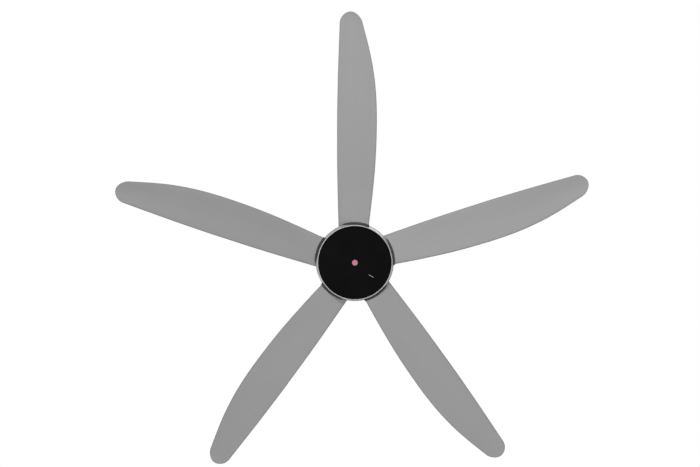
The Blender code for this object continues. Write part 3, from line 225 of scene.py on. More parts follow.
def add_node(tree, kind, settings=None, **inputs):
    """A node with its settings and its inputs, which are named with _ for a space."""
    node = tree.nodes.new(kind)
    for name, value in (settings or {}).items():
        setattr(node, name, value)
    for name, value in inputs.items():
        feed(tree, node.inputs[name.replace("_", " ")], value)
    return node


def new_tree(name, kind, inputs, outputs):
    """A node group with named inputs (name, type, default) and outputs (name, type)."""
    tree = bpy.data.node_groups.new(name, kind)
    for label, form, default in inputs:
        socket = tree.interface.new_socket(name=label, in_out="INPUT", socket_type=form)
        if default is not None:
            socket.default_value = default
    for label, form in outputs:
        tree.interface.new_socket(name=label, in_out="OUTPUT", socket_type=form)
    return tree, tree.nodes.new("NodeGroupInput").outputs, tree.nodes.new("NodeGroupOutput").inputs


def shape_tree(name, numbers, *others):
    """A geometry tree with number inputs, other inputs, of which a shape comes first, and a finish."""
    inputs = [*others, *((label, "NodeSocketFloat", 0.0) for label in numbers)]
    inputs.append(("Finish", "NodeSocketMaterial", None))
    return new_tree(name, "GeometryNodeTree", inputs, [("Geometry", "NodeSocketGeometry")])


def end_tree(tree, given, result, geometry):
    """Ends a geometry tree in Realize Instances and Set Material."""
    whole = add_node(tree, "GeometryNodeRealizeInstances", Geometry=geometry)
    dressed = add_node(tree, "GeometryNodeSetMaterial", Geometry=whole.outputs[0], Material=given["Finish"])
    feed(tree, result["Geometry"], dressed.outputs[0])
    return tree


def linked(name, data):
    """A new object in the scene."""
    obj = bpy.data.objects.new(name, data)
    bpy.context.scene.collection.objects.link(obj)
    return obj


def settled(obj, *helpers):
    """The plain mesh that an object's curve or modifiers give; the object and its helpers go."""
    graph = bpy.context.evaluated_depsgraph_get()
    made = bpy.data.meshes.new_from_object(obj.evaluated_get(graph))
    for old in (obj, *helpers):
        bpy.data.objects.remove(old, do_unlink=True)
    return made


def grown(mesh, tree, **values):
    """The plain mesh that a geometry tree makes of a mesh, with the tree's inputs set."""
    obj = linked("grown", mesh)
    modifier = obj.modifiers.new("shape", "NODES")
    modifier.node_group = tree
    sockets = {s.name: s.identifier for s in tree.interface.items_tree if s.in_out == "INPUT"}
    for label, value in values.items():
        modifier[sockets[label.replace("_", " ")]] = value
    return settled(obj)


# Finishes

# Sockets of a Mix node for colours, which share their names with its other sockets
MIX_FACTOR, MIX_FIRST, MIX_SECOND, MIX_RESULT = 0, 6, 7, 2
DISC_BORDER, DISC_BORDER_WIDTH, BORDER_DARKENING = 0.1058, 0.0030, 0.75
# The disc's haze: its least level and roughness, and how far the clouds raise them
HAZE_LEVEL, HAZE_LEVEL_RISE, HAZE_ROUGHNESS, HAZE_ROUGHNESS_RISE = 0.6, 0.8, 0.03, 0.10
BLADE_STREAKS = 0.10


def noise(tree, place, scale, detail):
    node = add_node(tree, "ShaderNodeTexNoise", Vector=place, Scale=scale, Detail=detail)
    return Field(tree, node.outputs["Fac"])


def stretched(tree, place, scale):
    return add_node(tree, "ShaderNodeMapping", Vector=place, Scale=scale).outputs["Vector"]


def scaled(tree, tint, level):
    """A colour made lighter or darker by a level."""
    node = add_node(tree, "ShaderNodeVectorMath", {"operation": "SCALE"}, Scale=level)
    feed(tree, node.inputs[0], tint)
    return node.outputs["Vector"]


def detail_group(name, **values):
    """A shader group from a place, a colour and named values to a colour, a roughness and a height."""
    inputs = [("Place", "NodeSocketVector", None), ("Colour", "NodeSocketColor", (0.5, 0.5, 0.5, 1))]
    inputs += [(label, "NodeSocketFloat", value) for label, value in values.items()]
    outputs = [("Colour", "NodeSocketColor"), ("Roughness", "NodeSocketFloat"), ("Height", "NodeSocketFloat")]
    return new_tree(name, "ShaderNodeTree", inputs, outputs)


def end_group(tree, given, result, tone, rough, height):
    """Gives a detail group's colour, shaded by a tone about nought, its roughness and its height."""
    feed(tree, result["Colour"], scaled(tree, given["Colour"], tone + 1.0))
    feed(tree, result["Roughness"], rough)
    feed(tree, result["Height"], height)
    return tree


def paint_detail_group():
    """Fine flake, soft mottling and the skin of sprayed satin paint."""
    tree, given, result = detail_group("paint_detail", Mottle=0.05, Flake=0.08, Roughness=0.45, Skin=0.3)
    flakes = add_node(tree, "ShaderNodeTexVoronoi", Vector=given["Place"], Scale=1600.0)
    mottle = (noise(tree, given["Place"], scale=7.0, detail=3.0) - 0.5) * given["Mottle"]
    sparkle = (Field(tree, flakes.outputs["Distance"]) - 0.5) * given["Flake"]
    rough = Field(tree, given["Roughness"]) + mottle * 0.6 - sparkle * 0.5
    skin = noise(tree, given["Place"], scale=420.0, detail=2.0) * given["Skin"]
    return end_group(tree, given, result, mottle + sparkle, rough.clamped(0.02), skin)


def metal_grain_group():
    """Drawn grain and stains of bare or plated metal."""
    tree, given, result = detail_group("metal_grain", Stains=0.2, Grain=0.15, Roughness=0.4)
    stain = (noise(tree, given["Place"], scale=55.0, detail=6.0) - 0.5) * given["Stains"]
    drawn = stretched(tree, given["Place"], (1.0, 1.0, 0.06))
    line = (noise(tree, drawn, scale=1500.0, detail=3.0) - 0.5) * given["Grain"]
    rough = Field(tree, given["Roughness"]) + stain + line
    return end_group(tree, given, result, stain + line, rough.clamped(0.05), line)


def principled(name, **constants):
    """A material with its shader, whose constant sockets are set by name with _ for a space."""
    material = bpy.data.materials.new(name)
    material.use_nodes = True
    tree = material.node_tree
    shader = tree.nodes["Principled BSDF"]
    for label, value in constants.items():
        shader.inputs[label.replace("_", " ")].default_value = value
    place = tree.nodes.new("ShaderNodeTexCoord").outputs["Object"]
    return material, tree, shader, place


def detailed(base, group, tint, relief, level=None, rough=None, **values):
    """Lets a detail group give a material its colour, roughness and relief; tint is a colour or a socket.

    A level shades the group's colour, and a roughness given here takes the place of the group's.
    """
    material, tree, shader, place = base
    node = add_node(tree, "ShaderNodeGroup", {"node_tree": groups[group]}, Place=place, **values)
    feed(tree, node.inputs["Colour"], tint if isinstance(tint, bpy.types.NodeSocket) else (*tint, 1.0))
    tone = scaled(tree, node.outputs["Colour"], level) if level else node.outputs["Colour"]
    bump = add_node(tree, "ShaderNodeBump", Height=node.outputs["Height"], Distance=relief, Strength=1.0)
    feed(tree, shader.inputs["Base Color"], tone)
    feed(tree, shader.inputs["Roughness"], rough or node.outputs["Roughness"])
    feed(tree, shader.inputs["Normal"], bump.outputs["Normal"])
    return material


def satin_paint(name, tint, roughness, metallic, mottle=0.05, flake=0.10, skin=0.3):
    base = principled(name, Metallic=metallic, Specular_IOR_Level=0.35)
    return detailed(base, "paint", tint, relief=0.00004, Mottle=mottle, Flake=flake, Roughness=roughness,
                    Skin=skin)


def metal(name, tint, roughness, metallic=0.9, stains=0.2, grain=0.15, relief=0.00003):
    base = principled(name, Metallic=metallic)
    return detailed(base, "metal", tint, relief, Stains=stains, Grain=grain, Roughness=roughness)


def moulded(name, tint, roughness):
    """Moulded plastic or rubber with a fine eroded skin."""
    base = principled(name, Specular_IOR_Level=0.4)
    return detailed(base, "paint", tint, relief=0.00008, Mottle=0.12, Flake=0.05, Roughness=roughness,
                    Skin=0.6)


def blade_paint(tint, edge):
    """Satin silver paint with painted shade along the blade's rounded edges and round its tip, and faint
    streaks along the blade.
    """
    base = principled("satin_silver_blades", Metallic=0.0, Specular_IOR_Level=0.3)
    tree = base[1]
    # The edge attribute is a mask of painted shade along the blade's rounded edges and round its tip
    rim = add_node(tree, "ShaderNodeAttribute", {"attribute_name": "edge"})
    spot = add_node(tree, "ShaderNodeAttribute", {"attribute_name": "blade_place"})
    drawn = stretched(tree, spot.outputs["Vector"], (5.0, 240.0, 1.0))
    streak = (noise(tree, drawn, scale=1.0, detail=4.0) - 0.5) * BLADE_STREAKS + 1.0
    tone = add_node(tree, "ShaderNodeMix", {"data_type": "RGBA"})
    feed(tree, tone.inputs[MIX_FACTOR], rim.outputs["Fac"])
    feed(tree, tone.inputs[MIX_FIRST], (*tint, 1.0))
    feed(tree, tone.inputs[MIX_SECOND], (*edge, 1.0))
    streaked = scaled(tree, tone.outputs[MIX_RESULT], streak)
    return detailed(base, "paint", streaked, relief=0.00003, Mottle=0.06, Flake=0.07, Roughness=0.5, Skin=0.3)


def gloss_black_disc(tint):
    """Deep black gloss, darker in a narrow border, with faint hazy patches."""
    base = principled("gloss_black_disc", Specular_IOR_Level=0.035)
    tree, place = base[1], base[3]
    split = add_node(tree, "ShaderNodeSeparateXYZ", Vector=place)
    across, along = Field(tree, split.outputs["X"]), Field(tree, split.outputs["Y"])
    radius = (across * across + along * along).root()
    border = ((radius - DISC_BORDER) / DISC_BORDER_WIDTH).clamped()
    cloud = noise(tree, place, scale=14.0, detail=2.0)
    level = (cloud * HAZE_LEVEL_RISE + HAZE_LEVEL) * (1.0 - border * BORDER_DARKENING)
    rough = cloud * HAZE_ROUGHNESS_RISE + HAZE_ROUGHNESS
    return detailed(base, "paint", tint, relief=0.00001, level=level, rough=rough, Mottle=0.5, Flake=0.1,
                    Skin=0.1)


groups = {}
finishes = {}


def make_finishes(scene):
    blades, hub, hanger = scene.fan_blades, scene.fan_hub, scene.fan_hanger
    groups.update(paint=paint_detail_group(), metal=metal_grain_group())
    finishes.update(
        # The blades' edge tone is painted shade along their rounded edges and round their tips
        blade=blade_paint(blades.paint, blades.edge),
        # The liners' dark rubber is painted shade: dark sleeves for the shaded notch gaps and the cover's
        # shadow
        liner=moulded("notch_liner_rubber", blades.liner, roughness=0.75),
        cover=satin_paint("bright_satin_silver", hub.silver, roughness=0.40, metallic=0.25, mottle=0.04),
        disc=gloss_black_disc(hub.black),
        badge=satin_paint("badge_pink_enamel", hub.badge, roughness=0.30, metallic=0.0, mottle=0.35,
                          flake=0.15, skin=0.1),
        bar=moulded("indicator_bar_grey", hub.bar, roughness=0.5),
        paint=satin_paint("satin_silver_metal", hanger.silver, roughness=0.42, metallic=0.20, mottle=0.06),
        steel=metal("plated_steel", hanger.steel, roughness=0.40),
        zinc=metal("zinc_plating", hanger.zinc, roughness=0.32, stains=0.25),
        cast=metal("cast_aluminium", (0.48, 0.48, 0.49), roughness=0.55, stains=0.25, grain=0.3,
                   relief=0.0001),
        bearing=metal("bearing_steel", (0.60, 0.60, 0.62), roughness=0.16, metallic=1.0, stains=0.06,
                      grain=0.05),
        lamination=metal("stator_lamination", (0.22, 0.22, 0.24), roughness=0.5, metallic=0.7, grain=0.6),
        copper=metal("enamelled_copper", (0.58, 0.24, 0.10), roughness=0.33, stains=0.3, grain=0.3),
        ferrite=moulded("ferrite", (0.030, 0.030, 0.034), roughness=0.6),
        board=moulded("circuit_board_green", (0.02, 0.15, 0.07), roughness=0.45),
        nylon=moulded("natural_nylon", (0.72, 0.70, 0.64), roughness=0.45),
        rubber=moulded("black_rubber", (0.018, 0.018, 0.019), roughness=0.8),
        cable=moulded("cable_sheath_grey", (0.28, 0.28, 0.28), roughness=0.55),
    )


bearing_parts = ("bearing_inner_ring", "bearing_outer_ring", "ball_cage")
carried_finishes = {
    "steel": ("motor_coupling", "shaft"),
    "zinc": ("set_screw", "shaft_nut"),
    "cast": ("rotor_upper_shell", "rotor_lower_shell", *(f"blade_bracket_{i}" for i in range(1, 6))),
    "bearing": [f"{side}_{part}" for side in ("upper", "lower") for part in bearing_parts],
    "lamination": ("stator_core",),
    "copper": ("stator_winding",),
    "ferrite": ("magnet_ring",),
    "board": ("control_board",),
    "nylon": ("terminal_block", "rod_spacer_front", "rod_spacer_back"),
    "rubber": ("dust_ring",),
    "cable": ("supply_cable",),
}


# Shapes

# Points nearer than MERGE become one, edges shorter than SPECK go, and edges past SHARP degrees stay sharp
MERGE, SPECK = 0.000002, 0.0000005
SHARP = 32


def meshed(shape, name, sharp=SHARP):
    """A bmesh as a mesh, smooth but for its sharp edges."""
    mesh = bpy.data.meshes.new(name)
    shape.to_mesh(mesh)
    shape.free()
    mesh.shade_smooth()
    mesh.set_sharp_from_angle(angle=math.radians(sharp))
    return mesh


def from_shape(shape, name, sharp=SHARP):
    """A bmesh as a mesh, merged and with its faces outwards."""
    bmesh.ops.remove_doubles(shape, verts=shape.verts, dist=MERGE)
    bmesh.ops.recalc_face_normals(shape, faces=shape.faces)
    return meshed(shape, name, sharp)


def eased(corners, closed=True, steps=6):
    """Points of an outline whose corners, each (x, y, rounding), are rounded."""
    points = []
    for i, (x, y, rounding) in enumerate(corners):
        here = Vector((x, y))
        if not rounding or (not closed and i in (0, len(corners) - 1)):
            points.append((x, y))
            continue
        back = Vector(corners[i - 1][:2]) - here
        onward = Vector(corners[(i + 1) % len(corners)][:2]) - here
        reach = rounding / math.tan(back.angle(onward) / 2)
        start = here + back.normalized() * min(reach, back.length * 0.5)
        end = here + onward.normalized() * min(reach, onward.length * 0.5)
        for k in range(steps + 1):
            t = k / steps
            spot = start * (1 - t) ** 2 + here * 2 * t * (1 - t) + end * t * t
            points.append((spot.x, spot.y))
    return points


def rectangle(half_long, half_wide, corner, middle=0.0):
    """The outline of a rectangle with rounded corners, its middle on X."""
    left, right = middle - half_long, middle + half_long
    return eased([(left, -half_wide, corner), (right, -half_wide, corner), (right, half_wide, corner),
                  (left, half_wide, corner)])


def arc(radius, steps, span=TURN):
    """Points of an arc that starts on X."""
    angles = [span * k / steps for k in range(steps + 1)]
    return [(radius * math.cos(a), radius * math.sin(a)) for a in angles]


def through(points, steps=8):
    """A smooth line through points."""
    spots = [Vector(p) for p in points]
    line = []
    for i in range(len(spots) - 1):
        start, end = spots[i], spots[i + 1]
        before = spots[i - 1] if i else start * 2 - end
        after = spots[i + 2] if i + 2 < len(spots) else end * 2 - start
        leaving, arriving = (end - before) / 2, (after - start) / 2
        for k in range(steps):
            t = k / steps
            spot = start * (2 * t**3 - 3 * t**2 + 1) + leaving * (t**3 - 2 * t**2 + t)
            spot += end * (3 * t**2 - 2 * t**3) + arriving * (t**3 - t**2)
            line.append(tuple(spot))
    line.append(tuple(spots[-1]))
    return line


def rounded_end(start, end, steps=4):
    """Points between two points on a half circle."""
    middle = (Vector(start) + Vector(end)) / 2
    arm = Vector(start) - middle
    return [tuple(middle + Matrix.Rotation(-math.pi * k / steps, 2) @ arm) for k in range(1, steps)]


def walled(outer, wall):
    """A closed profile: an outer line that runs down, its inner side and two rounded ends."""
    inner = []
    for i, point in enumerate(outer):
        run = Vector(outer[min(i + 1, len(outer) - 1)]) - Vector(outer[max(i - 1, 0)])
        run.normalize()
        inner.append((point[0] + wall * run.y, point[1] - wall * run.x))
    return outer + rounded_end(outer[-1], inner[-1]) + inner[::-1] + rounded_end(inner[0], outer[0])


def turned(profile, segments, closed=True, flats=math.inf, sharp=SHARP):
    """A mesh turned about Z from (radius, height) points, inside a hexagon of a given half width.

    An open profile starts and ends on the axis.
    """
    shape = bmesh.new()
    columns = []
    for i in range(segments):
        a = TURN * i / segments
        limit = flats / math.cos((a + TURN / 12) % (TURN / 6) - TURN / 12)
        reaches = [(min(radius, limit), z) for radius, z in profile]
        columns.append([shape.verts.new((r * math.cos(a), r * math.sin(a), z)) for r, z in reaches])
    join_columns(shape, columns, closed)
    return from_shape(shape, "turned", sharp)


def join_columns(shape, columns, closed):
    """Faces between each column of points and the next, all the way round."""
    for near, far in zip(columns, columns[1:] + columns[:1]):
        for j in range(len(near) if closed else len(near) - 1):
            k = (j + 1) % len(near)
            shape.faces.new((near[j], near[k], far[k], far[j]))


def drawn_curve(lines, closed, **settings):
    """The bmesh of a curve through lines of points."""
    curve = bpy.data.curves.new("drawn", "CURVE")
    for name, value in settings.items():
        setattr(curve, name, value)
    for line in lines:
        spline = curve.splines.new("POLY")
        spline.points.add(len(line) - 1)
        for point, spot in zip(spline.points, line):
            point.co = (*spot, 1.0)
        spline.use_cyclic_u = closed
    shape = bmesh.new()
    shape.from_mesh(settled(linked("drawn", curve)))
    return shape


def plate(outlines, thickness, edge, matrix):
    """A flat plate with eased edges from outlines; the first is its border and the others are holes."""
    lines = [[(x, y, 0.0) for x, y in outline] for outline in outlines]
    shape = drawn_curve(lines, True, dimensions="2D", fill_mode="BOTH", extrude=thickness / 2 - edge,
                        bevel_depth=edge, bevel_resolution=2, offset=-edge)
    bmesh.ops.transform(shape, matrix=matrix, verts=shape.verts)
    return from_shape(shape, "plate")


def united(*meshes, sharp=SHARP):
    """Several meshes as one."""
    shape = bmesh.new()
    for mesh in meshes:
        shape.from_mesh(mesh)
    return meshed(shape, "united", sharp)


def shifted(mesh, matrix):
    mesh.transform(matrix)
    return mesh


def carved(mesh, tool):
    """A mesh with a tool's shape cut out of it."""
    body, cutter = linked("body", mesh), linked("cutter", tool)
    modifier = body.modifiers.new("cut", "BOOLEAN")
    modifier.object = cutter
    modifier.operation = "DIFFERENCE"
    made = settled(body, cutter)
    made.set_sharp_from_angle(angle=math.radians(SHARP))
    return made


def evenly_shaded(mesh):
    """The mesh with normals weighed by face area, so that its narrow faces leave no creases."""
    holder = linked("shaded", mesh)
    modifier = holder.modifiers.new("shading", "WEIGHTED_NORMAL")
    modifier.mode = "FACE_AREA"
    modifier.keep_sharp = True
    return settled(holder)


def ring_tree():
    """Sets a shape out round the fan's axis: a named number of copies at a named radius."""
    tree, given, result = shape_tree("set_out_on_a_ring", ("First", "Radius"),
                                     ("Geometry", "NodeSocketGeometry", None), ("Count", "NodeSocketInt", 5))
    index = Field(tree, tree.nodes.new("GeometryNodeInputIndex").outputs[0])
    turn = index / given["Count"] * TURN + given["First"]
    radius = Field(tree, given["Radius"])
    place = add_node(tree, "ShaderNodeCombineXYZ", X=radius * turn.cosine(), Y=radius * turn.sine())
    points = add_node(tree, "GeometryNodePoints", Count=given["Count"], Position=place.outputs[0])
    facing = add_node(tree, "ShaderNodeCombineXYZ", Z=turn)
    turned_to = add_node(tree, "FunctionNodeEulerToRotation", Euler=facing.outputs[0])
    copies = add_node(tree, "GeometryNodeInstanceOnPoints", Points=points.outputs[0],
                      Instance=given["Geometry"], Rotation=turned_to.outputs[0])
    return end_tree(tree, given, result, copies.outputs[0])


def set_out(mesh, finish, count, radius, first):
    """Copies of a mesh set out round the fan's axis."""
    rule = bpy.data.node_groups.get("set_out_on_a_ring") or ring_tree()
    return grown(mesh, rule, Count=count, First=first, Radius=radius, Finish=finishes[finish])


def show(name, mesh, finish, body, slot, *nodes):
    """A piece in place that rides on a body, takes its finish and stands for CAD nodes."""
    mesh.name = name
    mesh.materials.clear()
    mesh.materials.append(finishes[finish])
    obj = linked(name, mesh)
    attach(obj, body)
    if nodes:
        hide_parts(*nodes)


# Blades

# Each edge's distance from the blade's middle line, as a share of the half chord, from hub to tip
leading_share = ((0.0, 0.635), (0.15, 0.643), (0.29, 0.640), (0.43, 0.619), (0.53, 0.600), (0.62, 0.572),
                 (0.72, 0.536), (0.81, 0.496), (0.905, 0.451), (1.0, 0.408))
trailing_share = ((0.0, 0.600), (0.15, 0.770), (0.29, 0.893), (0.43, 0.960), (0.53, 0.976), (0.62, 0.953),
                  (0.72, 0.870), (0.81, 0.739), (0.905, 0.552), (1.0, 0.352))
# Width of the painted shade along a blade's edges and round its tip
PAINTED_EDGE_SHADE_WIDTH = 0.0035
CAMBER_START, CAMBER_RUN = 0.02, 0.14
# Powers with which stations crowd towards the tip and the blade thins there
TIP_CROWDING, TIP_THINNING = 1.7, 8.0
# How steeply the section opens from a point at the first station, which closes the shape's inner end
ROOT_OPENING = 1000.0
# Sizes of the dark liners, painted shade for each notch's gap and, past the cover, for the cover's shadow on
# the blade
SHADE_LINER_START, SHADE_LINER_PROUD, SHADE_LINER_WALL = 0.1075, 0.0036, 0.0007
# The liner is shorter along the leading edge: a least share there, and its rise over the blade's width
SHADE_LINER_LEAST, SHADE_LINER_OPENING = 0.62, 1.9


def outline_curve(tree, place, table):
    """A field that follows a table of (place, share)."""
    node = add_node(tree, "ShaderNodeFloatCurve", Value=place)
    points = node.mapping.curves[0].points
    for (x, y), point in zip((table[0], table[-1]), (points[0], points[-1])):
        point.location = (x, y)
    for x, y in table[1:-1]:
        points.new(x, y)
    node.mapping.update()
    return Field(tree, node.outputs["Value"])


def stored(tree, geometry, name, kind, value):
    """The geometry with a named attribute on its points."""
    return add_node(tree, "GeometryNodeStoreNamedAttribute", {"data_type": kind, "domain": "POINT"},
                    Geometry=geometry, Name=name, Value=value).outputs[0]


def blade_tree(name, liner):
    """Geometry of one blade, or of the dark liner round its root, from a rule and named sizes; the liner is
    painted shade for the notch's gap and the cover's shadow on the blade.

    A grid of stations from root to tip and steps round the section is bent to the blade's skin.
    """
    labels = ("Hub radius", "Sweep", "Start", "End", "Half chord", "Thickness", "Tip thickness", "Camber",
              "Tip round", "Root pitch", "Tip pitch", "Height", "Turn", "Grow")
    tree, given, result = shape_tree(name, labels, ("Stations", "NodeSocketInt", 140),
                                     ("Around", "NodeSocketInt", 65))
    (hub_radius, sweep, start, end, half_chord, thickness, tip_thickness, camber, tip_round, root_pitch,
     tip_pitch, height, turn, grow) = (Field(tree, given[label]) for label in labels)
    grid = add_node(tree, "GeometryNodeMeshGrid", Size_X=1.0, Size_Y=1.0, Vertices_X=given["Stations"],
                    Vertices_Y=given["Around"])
    position = tree.nodes.new("GeometryNodeInputPosition").outputs[0]
    split = add_node(tree, "ShaderNodeSeparateXYZ", Vector=position)
    step = Field(tree, split.outputs["X"]) + 0.5
    way_round = (Field(tree, split.outputs["Y"]) + 0.5) * TURN

    closing = (1.0 - step) ** (1.0 if liner else TIP_CROWDING)
    radius = end - (end - start) * closing
    part = ((radius - hub_radius) / (sweep - hub_radius)).clamped()
    lead = outline_curve(tree, part, leading_share) * half_chord + grow
    trail = outline_curve(tree, part, trailing_share) * half_chord + grow
    width = lead + trail
    past = ((radius - sweep + tip_round) / tip_round).clamped()
    narrow = (1.0 - past * past).root()
    thin = thickness + (tip_thickness - thickness) * part + grow * 2.0
    thin = thin * (1.0 - past**TIP_THINNING).root()
    crown = camber * ((part - CAMBER_START) / CAMBER_RUN).clamped() * narrow

    cap = (step * ROOT_OPENING).below(1.0)
    cosine = way_round.cosine() * -1.0
    square = cosine * cosine
    across = ((cosine + 1.0) / 2.0 * width - lead) * narrow * cap
    lift = way_round.sine() * (square * square + square + 1.0).root() * thin / 2.0 * cap
    lift = lift + crown * (1.0 - square)
    pitch = root_pitch + (tip_pitch - root_pitch) * part
    sideways = across * pitch.cosine() + lift * pitch.sine()
    upward = lift * pitch.cosine() - across * pitch.sine() + height
    outward = radius
    if liner:
        reach = ((across + lead) / width * SHADE_LINER_OPENING + SHADE_LINER_LEAST).below(1.0)
        wrapped = start + (radius - start) * reach
        outward = (wrapped * wrapped - sideways * sideways).root()
    turn_cos, turn_sin = turn.cosine(), turn.sine()
    place = add_node(tree, "ShaderNodeCombineXYZ", X=outward * turn_cos - sideways * turn_sin,
                     Y=outward * turn_sin + sideways * turn_cos, Z=upward)

    # Painted shade: a mask that darkens the paint along the rounded edges and round the tip, stored as the
    # edge attribute
    rim = 1.0 - (1.0 - cosine.maths("ABSOLUTE")) * width * narrow / 2.0 / PAINTED_EDGE_SHADE_WIDTH
    painted_tip_shade = 1.0 - (sweep - radius) / PAINTED_EDGE_SHADE_WIDTH
    spot = add_node(tree, "ShaderNodeCombineXYZ", X=radius, Y=across, Z=lift)
    noted = stored(tree, grid.outputs["Mesh"], "edge", "FLOAT", rim.maths("MAXIMUM", painted_tip_shade).clamped())
    traced = stored(tree, noted, "blade_place", "FLOAT_VECTOR", spot.outputs[0])
    placed = add_node(tree, "GeometryNodeSetPosition", Geometry=traced, Position=place.outputs[0])
    merged = add_node(tree, "GeometryNodeMergeByDistance", Geometry=placed.outputs[0], Distance=MERGE)
    return end_tree(tree, given, result, merged.outputs[0])


def outward_faces(mesh):
    """Closes what is left open at a shape's ends and points its faces outwards."""
    shape = bmesh.new()
    shape.from_mesh(mesh)
    loose = [e for e in shape.edges if len(e.link_faces) == 1]
    if loose:
        bmesh.ops.holes_fill(shape, edges=loose, sides=0)
    bmesh.ops.dissolve_degenerate(shape, dist=SPECK, edges=shape.edges)
    bmesh.ops.recalc_face_normals(shape, faces=shape.faces)
    return meshed(shape, "blade", sharp=60)


def blade_turns(count):
    """The first blade points to -Y."""
    return [-TURN / 4 + TURN * i / count for i in range(count)]


class FAN_OT_blades(bpy.types.Operator):
    """Makes the blades and the dark liners round their roots, which are painted shade for the notch gaps and
    the cover's shadow on the blades
    """

    bl_idname = "fan.blades"
    bl_label = "Make blades"

    def execute(self, context):
        blades, hub = context.scene.fan_blades, context.scene.fan_hub
        names = ("sweep", "half_chord", "thickness", "tip_thickness", "camber", "tip_round", "root_pitch",
                 "tip_pitch")
        shared = {name.capitalize(): getattr(blades, name) for name in names}
        shared.update(Hub_radius=hub.radius, Height=low_of("lower_cover").z + hub.depth)
        pieces = {
            "blade": {"Start": blades.root, "End": blades.sweep, "Grow": 0.0, "Stations": 150, "Around": 73},
            # The liners are painted shade: dark sleeves over the notch gaps and the cover's shadow on the
            # blade roots
            "liner": {"Start": SHADE_LINER_START, "End": hub.radius + SHADE_LINER_PROUD, "Grow": SHADE_LINER_WALL,
                      "Stations": 12, "Around": 97},
        }
        rules = {piece: blade_tree(f"{piece}_rule", piece == "liner") for piece in pieces}
        for i, turn in enumerate(blade_turns(blades.count), 1):
            for piece, sizes in pieces.items():
                mesh = outward_faces(grown(bpy.data.meshes.new(piece), rules[piece], Turn=turn,
                                           Finish=finishes[piece], **sizes, **shared))
                if piece == "blade":
                    show(f"blade_{i}_painted", mesh, piece, "rotor", "silver_plastic", f"blade_{i}")
                else:
                    # The notch liners are painted shade, dark where the gap and the cover's shadow fall
                    show(f"notch_liner_{i}", mesh, piece, "rotor", "rubber")
        return {"FINISHED"}


# Lower cover and disc

COVER_FLOOR, FLOOR_FILLET = 0.0025, 0.001
TUCK_POWER = 5.8
RIM_EASE, RIM_CORNER_SHARE = 0.0008, 0.3
LIP_HEIGHT, LIP_INNER_ROUND, LIP_OUTER_ROUND = 0.0016, 0.0007, 0.0013
WALL_STEPS, NOTCH_STEPS, NOTCH_SLIVER = 16, 48, 0.00002

SCREW_RADIUS, SCREW_HEAD_RADIUS, SCREW_HEAD_HEIGHT = 0.002, 0.0038, 0.0025
SCREW_POCKET = 0.003
POST_RADIUS, POST_FLARE, POST_EASE, POST_FILLET = 0.0055, 0.0015, 0.0004, 0.001
# Heights over the floor's lower face where a screw post's bore, its flare and its straight wall start
POST_BORE, POST_FOOT, POST_WALL = 0.0035, 0.0022, 0.0045

DISC_EASE, DISC_HOLE_EASE = 0.0007, 0.0002
BADGE_FLAT, BADGE_EASE, BADGE_BACK_EASE = 0.002, 0.0004, 0.0001
BAR_HALF_LENGTH, BAR_HALF_WIDTH, BAR_EDGE, BAR_TURN = 0.0085, 0.0009, 0.0001, math.radians(31)
BAR_CORNER_SHARE = 0.9
OVERRUN, CUTTER_EDGE = 0.001, 0.00001


def cover_mesh(hub, blades, rim):
    """One column of points for each angle; inside a notch the wall ends at the blade's pitched underside."""
    blade_z = rim + hub.depth
    lead = blades.half_chord * leading_share[0][1]
    trail = blades.half_chord * trailing_share[0][1]
    belt = blade_z + lead * math.sin(blades.root_pitch) + blades.thickness / 2
    floor_low = high_of("cover_disc").z + FIT
    floor_high = floor_low + COVER_FLOOR

    def radius_at(z):
        if z > blade_z:
            return hub.radius - hub.lean * (z - blade_z) / (belt - blade_z)
        up = max((z - rim) / hub.depth, 0.0)
        return hub.tuck + (hub.radius - hub.tuck) * up**TUCK_POWER

    slope, cosine = math.tan(blades.root_pitch), math.cos(blades.root_pitch)
    drop = (blades.thickness / 2 + hub.notch_drop) / cosine
    start = math.asin(-(lead + hub.notch_side) * cosine / hub.radius)
    end = math.asin((trail + hub.notch_side) * cosine / hub.radius)
    span = TURN / blades.count - (end - start)
    nudge = {0: NOTCH_SLIVER, NOTCH_STEPS: -NOTCH_SLIVER}
    angles = []
    for turn in blade_turns(blades.count):
        for k in range(NOTCH_STEPS + 1):
            a = turn + start + (end - start) * k / NOTCH_STEPS
            angles.append((a, min(blade_z - drop - hub.tuck * math.sin(a - turn) * slope, belt)))
        for k in range(NOTCH_STEPS + 1):
            angles.append((turn + end + span * k / NOTCH_STEPS + nudge.get(k, 0.0), belt))

    lip_top, fillet = rim + LIP_HEIGHT, floor_high + FLOOR_FILLET
    lip = eased([(hub.disc + FIT, floor_low, 0), (hub.disc + FIT, rim, LIP_INNER_ROUND),
                 (hub.tuck, rim, LIP_OUTER_ROUND), (hub.tuck, lip_top, 0)], closed=False)
    shape = bmesh.new()
    columns = []
    for a, top in angles:
        heights = [lip_top + (top - RIM_EASE - lip_top) * k / WALL_STEPS for k in range(WALL_STEPS + 1)]
        outer = [(radius_at(z), z) for z in heights]
        wide, thin, corner = radius_at(top), radius_at(top) - hub.wall, RIM_EASE * RIM_CORNER_SHARE
        edge = [(wide - corner, top - corner), (wide - RIM_EASE, top), (thin + RIM_EASE, top),
                (thin + corner, top - corner)]
        inner = [(r - hub.wall, z) for r, z in reversed(outer) if z > fillet]
        inner += [(hub.tuck - hub.wall, fillet)] * WALL_STEPS
        floor = [(hub.tuck - hub.wall - FLOOR_FILLET, floor_high), (0.0, floor_high)]
        profile = [(0.0, floor_low)] + lip + outer + edge + inner[:WALL_STEPS] + floor
        columns.append([shape.verts.new((r * math.cos(a), r * math.sin(a), z)) for r, z in profile])
    join_columns(shape, columns, closed=False)
    return from_shape(shape, "cover", sharp=40)


